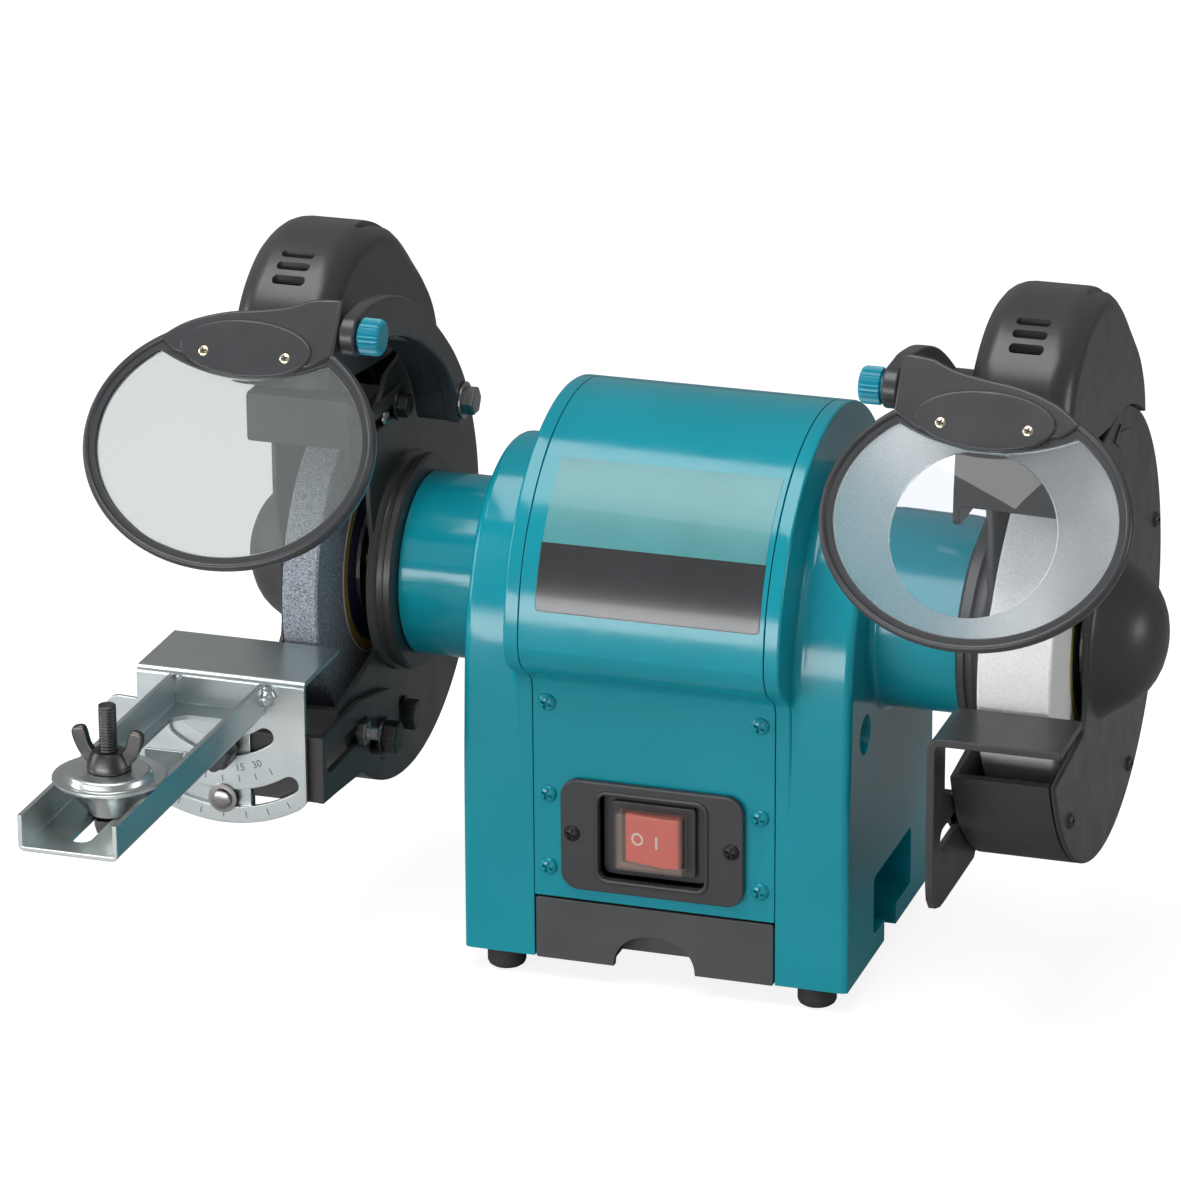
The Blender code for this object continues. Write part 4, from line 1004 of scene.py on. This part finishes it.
def build_shields():
    """Tilting eye shields: a clear window on the left, a frosted one with a magnifier on the right."""
    lug = 119.8
    at = (PIVOT.y, PIVOT.z)
    top = [(133.5, 11.2), (143, 7.4), (156, 4.9), (168, 3.2), (180, -0.2), (189, -4.4), (197, -10.5)]
    head = [(lug, -12), (lug, 12.3), (128, 12.0)] + flowing(top, 4)
    head += [(190, -16), (159, -22), (130, -18)]
    upright = Matrix.Rotation(math.radians(-90), 4, "X")
    screw = cross_screw(2.3, 0.7)
    for who, side in SIDES:
        body = f"{who}_shield"
        filler = plate("Z", [ellipse(OVAL, 62.5, 51.9, 120), lens_edge()], 2.6, 8.0, 0.4)
        block = plate("Z", [head], 2.9, 9.5, 1.4, 4)
        pad = plate("Z", [ellipse((158, -12.3), 29, 12.2)], 4, 10.6, 1.0, 4)
        mesh = on_shield(joined(bead_ring(), filler, block, pad), side)
        hub = mirrored(rod("X", at, lug, 131, 8.0, 48, 0.8), side)
        bore = mirrored(rod("X", at, lug - 2, 127, 3.3), side)
        mesh = cut(joined(mesh, hub), bore)
        piece(f"{who}_shield_rim", mesh, body, PLASTIC, [f"{who}_shield_frame"], 42)
        screws = [copied(screw, upright, Vector((across, -15, 10.35))) for across in (140, 176)]
        piece(f"{who}_shield_screws", on_shield(gathered(*screws), side), body, BRASS)
        if side < 0:
            lens = on_shield(plate("Z", [lens_edge(0.2)], 4.0, 6.6, 0.3), side)
            piece("left_window", lens, body, TINTED, ["left_shield_lens"])
            continue
        centre, radius = (159, -58.1), 34.1
        frost = plate("Z", [lens_edge(0.2), circle(centre, radius + 0.2, 72)], 4.0, 6.6, 0.2)
        piece("right_window", on_shield(frost, side), body, FROST, ["right_shield_lens"])
        rise = [(4.4, 0), (4.4, radius), (5.6, radius)]
        rise += [(5.6 + 3.2 * (1 - (r / radius) ** 2), r) for r in (30, 25, 20, 15, 10, 5, 0)]
        bulge = on_shield(turned("Z", centre, rise, 72), side)
        piece("right_magnifier", bulge, body, MAGNIFIER, angle=60)


def arm_outline():
    """Side view of a shield's arm: a round boss at the pivot and a hooked tail at the guard."""
    boss = arc((PIVOT.y, 141), 8.7, 290, 90, 20)
    top = [(-104, 150), (-96, 150), (-75, 146.5), (-52, 138), (-27, 122.5), (-5, 105), (8, 92)]
    top += [(17, 80), (21, 70.5), (19.5, 63.5), (12.5, 61.5), (6.5, 65)]
    under = [(1.5, 79), (-9, 93), (-26, 106.5), (-48, 119), (-70, 127), (-92, 132), (-105, 133)]
    return lifted(boss + flowing(top, 4) + flowing(under, 4))


def build_arms():
    """The shields' arms, their bolts and the fluted knobs at the pivots."""
    heel = [(-40, 121), (-27, 122), (-5, 104.5), (7.6, 91.8), (16.6, 79.8), (20.4, 70.5), (19.0, 64)]
    under = [(12.5, 62), (7, 65.3), (1.9, 79), (-8.7, 93.3), (-26, 106.8), (-40, 115)]
    heel = lifted(flowing(heel, 4) + flowing(under, 4))
    at = (PIVOT.y, PIVOT.z)
    flutes = wavy(7.35, 0.45, 24, 144)
    stations = ((111.5, 0.97), (111.0, 1.0), (104.6, 1.0), (103.3, 0.94), (102.6, 0.82), (102.4, 0.6))
    collar = [(110.5, 0), (110.5, 5.6), (112.5, 5.6), (112.5, 3.0), (125, 3.0), (125, 0)]
    bolt_at = (13, SHAFT_Z + 72)
    for who, side in SIDES:
        web = plate("X", [arm_outline(), circle(at, 3.3)], 112.8, 119.5, 1.2, 3)
        arm = cut(joined(web, plate("X", [heel], 117.5, 132.7, 0.8)), rod("X", bolt_at, 110, 140, 3.3))
        piece(f"{who}_arm", mirrored(arm, side), "root", PLASTIC, [f"{who}_shield_arm"], 40)
        washer = plate("X", [circle(bolt_at, 8.2)], 111.6, 112.7, 0.25)
        head = hexagon("X", bolt_at, 106.5, 111.9, 11, 0.7)
        bolt = mirrored(joined(head, washer, rod("X", bolt_at, 111, 132.6, 3.0)), side)
        piece(f"{who}_arm_screw", bolt, "root", STEEL, [f"{who}_arm_bolt"])
        grip = loft([[(x, at[0] + u * k, at[1] + v * k) for u, v in flutes] for x, k in stations])
        knob = mirrored(joined(grip, turned("X", at, collar, 40)), side)
        piece(f"{who}_grip_knob", knob, f"{who}_knob", KNOB, [f"{who}_shield_knob"], 30)


# Tool rests. The left one swings about REST, its clamps DROPS below that point.

REST = (-177.0, SHAFT_Z - 14)
DROPS = (33, 56.5)
REST_FRONT = -121.5


def build_left_bracket():
    """The left rest's carrier, with the guard's stud, nut and bolt beside it."""
    top, bottom = SHAFT_Z - 40, SHAFT_Z - 70
    leg = [(-117, bottom), (-100, bottom - 1.2), (-46, bottom - 6), (-40, bottom - 9.5)]
    leg += [(-30, bottom - 9.5), (-22, bottom - 2), (-22, top - 14), (-34, top - 8)]
    leg += [(-70, top), (-117, top)]
    upper = slot((-108, SHAFT_Z - 54), (-66, SHAFT_Z - 54), 4.6)
    lower = slot((-56, SHAFT_Z - 66), (-37, SHAFT_Z - 66), 3.9)
    leg = plate("X", [leg, upper, lower], -135.5, -132.5, 0.5)
    flange = plate("Y", [rounded_box((-200, bottom), (-132.5, top), 3)], -117, -114, 0.5)
    ear = plate("Y", [rounded_box((-189, bottom - 11), (-165, bottom + 4), 3)], -117, -114, 0.5)
    studs = [rod("Y", (REST[0], REST[1] - drop), -120, -110, 3.3) for drop in DROPS]
    mesh = cut(joined(leg, flange, ear), *studs)
    piece("bracket", mesh, "left_rest_carrier", ENAMEL, ["left_rest_bracket"])
    stud = thread((0, 0), -1.0, 9.0, 2.9, 1.0, 0.4)
    stud = moved(stud, Matrix.Rotation(math.radians(90), 4, "Y"), Vector((-132.6, -72, SHAFT_Z - 54)))
    nut = hexagon("X", (-72, SHAFT_Z - 54), -132.4, -128.6, 9.5, 0.5)
    piece("guard_stud", joined(nut, stud), "root", STEEL)
    bolt = hexagon("X", (-8, SHAFT_Z - 70), -134.9, -128.9, 12, 0.7)
    washer = plate("X", [circle((-8, SHAFT_Z - 70), 8.0)], -135.6, -134.4, 0.25)
    piece("guard_bolt", joined(bolt, washer), "root", DARK_STEEL)


def text_mesh(text, size):
    """Numerals as a thin raised mesh in XY."""
    curve = bpy.data.curves.new("numeral", "FONT")
    curve.body = text
    curve.size = size
    curve.extrude = 0.12
    curve.align_x = "CENTER"
    curve.align_y = "CENTER"
    mesh = evaluated(linked(curve))
    bm = bmesh.new()
    bm.from_mesh(mesh)
    bmesh.ops.remove_doubles(bm, verts=bm.verts, dist=1e-4)
    return mesh_of(bm)


def around_rest(mesh, radius, angle, y):
    """Moves a mark out to a radius around the rest's swing and turns it to face the centre."""
    turn = math.radians(angle)
    at = Vector((REST[0] + radius * math.cos(turn), y, REST[1] + radius * math.sin(turn)))
    return moved(mesh, Matrix.Rotation(-(turn + math.pi / 2), 4, "Y"), at)


def build_left_rest():
    """The left rest's bent plate with its arc slots, the sector behind it and the scale on its face."""
    cx, cz = REST
    front = REST_FRONT
    left, right = cx - 38.2, cx + 38.2
    corner = cz - 56.6
    outline = [(right, cz - 2.5), (left, cz - 2.5), (left, corner + 2), (left + 1.5, corner)]
    outline += arc(REST, 68, 237.5, 302.5, 40)[1:-1] + [(right - 1.5, corner), (right, corner + 2)]
    slots = [arc_slot(REST, DROPS[0], 3.9, 233, 307), arc_slot(REST, DROPS[1], 3.9, 237, 303)]
    face = plate("Y", [outline, *slots], front, front + 2.1, 0.3)
    outer = [(front, cz - 4)] + arc((front + 3.2, cz - 3.2), 3.2, 180, 90, 8)
    outer += [(-77.8, cz), (-77.8, cz - 2.3)]
    outer += arc((front + 3.2, cz - 3.2), 0.9, 90, 180, 6) + [(front + 2.1, cz - 4)]
    bend = plate("X", [outer], left, right, 0.3)
    piece("rest_plate", joined(face, bend), "left_rest", ZINC, ["left_rest_plate"])
    outline = [(-165, 123.5), (-209, 122.5), (-213.5, 129.5), (-224, 130)]
    outline += arc((-225, SHAFT_Z - 36), 6, 90, 240, 14) + arc(REST, 62, 230, 281, 24)
    holes = [circle((cx, cz - drop), 3.3) for drop in DROPS]
    sector = plate("Y", [outline, *holes], -119.1, -117.3, 0.25)
    piece("rest_sector", sector, "left_rest_carrier", ZINC, ["left_rest_sector"])
    marks = []
    for angle in range(-45, 46, 15):
        for radius in (47.5, 64.0):
            tick = [(-0.22, -1.5), (0.22, -1.5), (0.22, 1.5), (-0.22, 1.5)]
            marks.append(around_rest(plate("Y", [tick], -0.08, 0.1), radius, 270 + angle * 0.62, front))
    for label, angle in (("0", 270), ("15", 281), ("30", 292), ("15", 259), ("30", 248)):
        glyph = moved(text_mesh(label, 4.6), Matrix.Rotation(math.radians(90), 4, "X"))
        marks.append(around_rest(glyph, 42.5, angle, front + 0.04))
    piece("rest_scale", gathered(*marks), "left_rest", STAMP)
    build_clamps()


def build_clamps():
    """The lobed clamp knob and the slotted bolt that hold the left rest to its sector."""
    front = REST_FRONT
    at = (REST[0], REST[1] - DROPS[0])
    lobes = wavy(7.6, 0.4, 8, 96)
    rows = []
    for out, scale in ((0.3, 0.9), (1.2, 1.0), (10, 1.0), (11.4, 0.93), (12, 0.8)):
        rows.append([(at[0] + u * scale, front - out, at[1] + v * scale) for u, v in lobes])
    knob = joined(loft(rows), rod("Y", at, front - 1, -112.5, 3.0))
    piece("rest_knob", knob, "clamp_knob", PLASTIC, ["rest_clamp_knob"])
    at = (REST[0], REST[1] - DROPS[1])
    head = [(0.3, 0), (0.3, 6.4), (1.1, 6.4), (1.2, 4.6), (3.0, 4.2), (3.6, 3.0), (3.6, 0)]
    head = turned("Y", at, [(front - out, radius) for out, radius in head], 48)
    bolt = joined(head, rod("Y", at, front - 1, -111.5, 3.0))
    bolt = cut(bolt, box((at[0] - 6, front - 4, at[1] - 0.5), (at[0] + 6, front - 2.7, at[1] + 0.5)))
    piece("sector_bolt", bolt, "left_rest_carrier", STEEL, ["rest_sector_bolt"])
    nut = hexagon("Y", at, -113.8, -110, 9, 0.5)
    piece("sector_nut", nut, "left_rest_carrier", DARK_STEEL)


def weld(points, radius, seed):
    """A lumpy bead of overlapping blobs along a line."""
    blobs = []
    for i, point in enumerate(points):
        bm = bmesh.new()
        bmesh.ops.create_icosphere(bm, subdivisions=3, radius=radius)
        for vert in bm.verts:
            wobble = noise.noise(vert.co * 0.6 + Vector((seed + i * 3.1, 0, 0)))
            vert.co *= 1 + 0.28 * wobble
        bmesh.ops.translate(bm, vec=Vector(point), verts=bm.verts)
        blobs.append(mesh_of(bm))
    return joined(*blobs) if len(blobs) > 1 else blobs[0]


def build_jig():
    """The drill jig: a channel welded to the rest, a turned cone, its bolt and a wing nut."""
    front = -121.8
    middle_x = -178.0
    low, high = SHAFT_Z - 31, SHAFT_Z - 15.6
    bend, wall = 2.6, 2.0
    x0, x1 = middle_x - 21.5, middle_x + 21.5
    lefty, righty = (x0 + bend, low + bend), (x1 - bend, low + bend)
    section = [(x0, high)] + arc(lefty, bend, 180, 270, 6) + arc(righty, bend, 270, 360, 6)
    section += [(x1, high), (x1 - wall, high)] + arc(righty, bend - wall, 360, 270, 4)
    section += arc(lefty, bend - wall, 270, 180, 4) + [(x0 + wall, high)]
    channel = plate("Y", [section], -287, front, 0.3)
    window = rounded_box((middle_x - 15, -196), (middle_x + 15, front - 12), 9, 10)
    groove = slot((middle_x, -272), (middle_x, -216), 4.3)
    openings = [plate("Z", [outline], low - 4, low + 5) for outline in (window, groove)]
    piece("channel", cut(channel, *openings), "left_rest", ZINC, ["jig_channel"])
    tab = rounded_box((middle_x - 2.5, low + 1.5), (middle_x + 14.5, low + 12.5), 0.8)
    piece("channel_tab", plate("Y", [tab], -198.2, -196.8, 0.3), "left_rest", ZINC)
    corner = [(x1 + 1.0, front - 1.0, high - 3.5 - i * 2.0) for i in range(3)]
    beads = [
        weld(corner + [(x1 + 2.4, front - 0.6, high - 4.5)], 3.0, 3.0),
        weld([(x0 - 0.8, front - 0.8, high - 4 - i * 1.6) for i in range(4)], 1.9, 11.0),
        weld([(x0 + 4, front - 0.6, high - 1.4)], 1.4, 7.0),
    ]
    piece("channel_welds", gathered(*beads), "left_rest", ZINC, angle=60)
    floor = low + wall
    at = (middle_x, -241.5)
    cone = [(GAP, 4.1), (GAP, 9.3), (1.4, 10.0), (4.5, 12.0), (8, 14.6), (11, 17.2), (13.2, 19.6)]
    cone += [(14.2, 21.6), (14.5, 23.2), (15.1, 23.6), (15.8, 23.5), (16.2, 22.8), (15.9, 21.2)]
    cone += [(15.2, 19.4), (15.0, 18.0), (15.6, 17.5), (17.4, 17.2), (18.1, 16.5), (18.4, 15.4)]
    cone += [(18.4, 4.1)]
    piece("cone", turned("Z", at, [(floor + a, r) for a, r in cone], 96), "jig", ZINC, ["jig_cone"], 50)
    head, top = low - GAP, SHAFT_Z + 17.5
    bolt = joined(thread(at, head - 1, top, 3.8), hexagon("Z", at, head - 5.7, head, 13))
    piece("cone_bolt", bolt, "jig", DARK_STEEL, ["jig_bolt"], 50)
    base = floor + 18.4 + GAP
    hub = [(0, 4.1), (0, 8.8), (0.8, 9.2), (3, 8.9), (7, 7.2), (8, 6.4), (8, 4.1)]
    hub = turned("Z", at, [(base + a, r) for a, r in hub], 48)
    wing = [(6.2, 1), (9.5, 1.6), (14, 6), (17.6, 13), (18.6, 18)]
    wing += [(17.0, 20.4), (12.6, 21), (10.8, 18), (9.4, 12.5), (6.0, 7)]
    wings = []
    for side in (-1, 1):
        outline = [(middle_x + side * 0.84 * u, base + 0.84 * v) for u, v in flowing(wing, 3, True)]
        wings.append(plate("Y", [outline], -243.4, -239.6, 1.1, 3))
    piece("wings", joined(hub, *wings), "wing_nut", DARK_STEEL, ["wing_nut"])


def build_right_rest():
    """The right rest, bent from one bar, and the clamp bolts of both rests."""
    top = SHAFT_Z - 9
    inner, bar = 132.0, 3.5
    leg = [(-115, top - 5), (-115, top - 66), (-113.6, top - 73), (-109, top - 78.5), (-102, top - 80.7)]
    leg += [(-95, top - 81), (-46, top - 81), (-42, top - 77), (-42, top - 46), (-46, top - 42)]
    leg += [(-70, top - 42), (-84, top - 37), (-97, top - 30), (-97, top - 8), (-93, top - 5)]
    groove = slot((-99, SHAFT_Z - 60), (-52, SHAFT_Z - 60), 4.6)
    leg = plate("X", [leg, groove], inner, inner + bar, 0.5)
    bend = 6.0
    section = arc((inner + bend, top - bend), bend, 180, 90, 8) + [(188.5, top), (188.5, top - bar)]
    section += arc((inner + bend, top - bend), bend - bar, 90, 180, 6)
    bench = plate("Y", [section], -115, -77.8, 0.5)
    upper = [(-115, top - 5), (-115, top - 8), (-97, top - 8), (-77.8, top - 5.2)]
    upper = plate("X", [upper], inner, inner + bar, 0.4)
    piece("rest_bar", joined(bench, leg, upper), "right_rest", ENAMEL, ["right_rest"])
    for (who, side), at in zip(SIDES, ((-45, SHAFT_Z - 66), (-64, SHAFT_Z - 60))):
        washer = plate("X", [circle(at, 8.5)], 130.2, 131.7, 0.3)
        head = hexagon("X", at, 124.2, 130.6, 12.5, 0.7)
        bolt = mirrored(joined(washer, head, rod("X", at, 130, 135.5, 3.0)), side)
        piece(f"{who}_clamp_bolt", bolt, "root", DARK_STEEL, [f"{who}_rest_bolt"])


# Nodes that keep their CAD shape.

KEPT = {
    LAMINATION: ("stator_core", "rotor_core"),
    COPPER: ("left_winding", "right_winding"),
    STEEL: (
        "shaft", "left_bearing", "right_bearing", "left_inner_flange", "left_outer_flange",
        "right_inner_flange", "right_outer_flange", "left_wheel_nut", "right_wheel_nut",
    ),
    GREY_CAN: ("capacitor",),
}


def finish_kept():
    """Gives each of them its material."""
    for finish, names in KEPT.items():
        for name in names:
            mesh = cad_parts[name].data
            mesh.materials.clear()
            mesh.materials.append(finish)


# The stage.


def area_light(name, place, target, size, power):
    """A white soft box at a place, facing a target."""
    data = bpy.data.lights.new(name, "AREA")
    data.shape = "RECTANGLE"
    data.size, data.size_y = size
    data.energy = power
    obj = bpy.data.objects.new(name, data)
    obj.location = place
    obj.rotation_euler = (Vector(target) - Vector(place)).to_track_quat("-Z", "Y").to_euler()
    bpy.context.scene.collection.objects.link(obj)


def seen_directly(tree):
    """One where a ray comes straight from the eye or through a window, and zero in reflections."""
    path = tree.nodes.new("ShaderNodeLightPath")
    either = tree.nodes.new("ShaderNodeMath")
    either.operation = "MAXIMUM"
    tree.links.new(path.outputs["Is Camera Ray"], either.inputs[0])
    tree.links.new(path.outputs["Is Transmission Ray"], either.inputs[1])
    return either.outputs["Value"]


def build_stage():
    """A pale sweep that photographs white and stays quiet in the reflections, and four soft boxes."""
    bpy.ops.mesh.primitive_plane_add(size=14, location=(0, 1.5, -0.0006))
    floor = bpy.context.object
    floor.name = "floor"
    finish = Finish("floor", (0.34, 0.34, 0.34), 0.6)
    finish.vary_roughness(finish.noise(3, 2), 0.55, 0.65)
    finish.shader.inputs["Emission Color"].default_value = (1, 1, 1, 1)
    glow = finish.spread(seen_directly(finish.tree), 0.0, 0.86, 0, 1)
    finish.link(glow, finish.shader.inputs["Emission Strength"])
    floor.data.materials.append(finish.material)
    world = bpy.data.worlds.new("studio")
    world.use_nodes = True
    tree = world.node_tree
    background = tree.nodes["Background"]
    background.inputs["Color"].default_value = (1, 1, 1, 1)
    level = tree.nodes.new("ShaderNodeMapRange")
    level.inputs["To Min"].default_value = 0.24
    level.inputs["To Max"].default_value = 1.0
    tree.links.new(seen_directly(tree), level.inputs["Value"])
    tree.links.new(level.outputs["Result"], background.inputs["Strength"])
    bpy.context.scene.world = world
    bpy.context.scene.view_settings.view_transform = "Standard"
    area_light("overhead", (-0.35, -0.40, 2.0), (-0.1, 0.0, 0.15), (1.7, 1.2), 30)
    area_light("front_strip", (-0.50, -1.50, 0.20), (0, 0, 0.13), (1.7, 0.42), 15)
    area_light("side", (-1.9, -0.5, 0.7), (0, 0, 0.15), (0.6, 0.9), 9)
    area_light("fill", (2.2, 0.1, 0.5), (0, 0, 0.15), (0.9, 0.6), 7)


def build_camera():
    """A long lens in front of the machine, to its right and a little above."""
    data = bpy.data.cameras.new("camera")
    data.sensor_width = 36.0
    data.lens = 182.4
    data.clip_end = 50.0
    camera = bpy.data.objects.new("camera", data)
    right = Vector((0.95066, 0.31017, -0.00654)).normalized()
    forward = Vector((-0.29273, 0.88983, -0.35004)).normalized()
    up = right.cross(forward)
    right = forward.cross(up)
    turn = Matrix((right, up, -forward)).transposed().to_4x4()
    camera.matrix_world = Matrix.Translation(Vector((0.7138, -2.3239, 1.0687)) + OFFSET) @ turn
    bpy.context.scene.collection.objects.link(camera)
    bpy.context.scene.camera = camera


build_camera()
build_stage()
build_body()
build_tray()
build_switch()
build_wheels()
build_guards()
build_hoods()
build_arrestors()
build_shields()
build_arms()
build_left_bracket()
build_left_rest()
build_jig()
build_right_rest()
finish_kept()
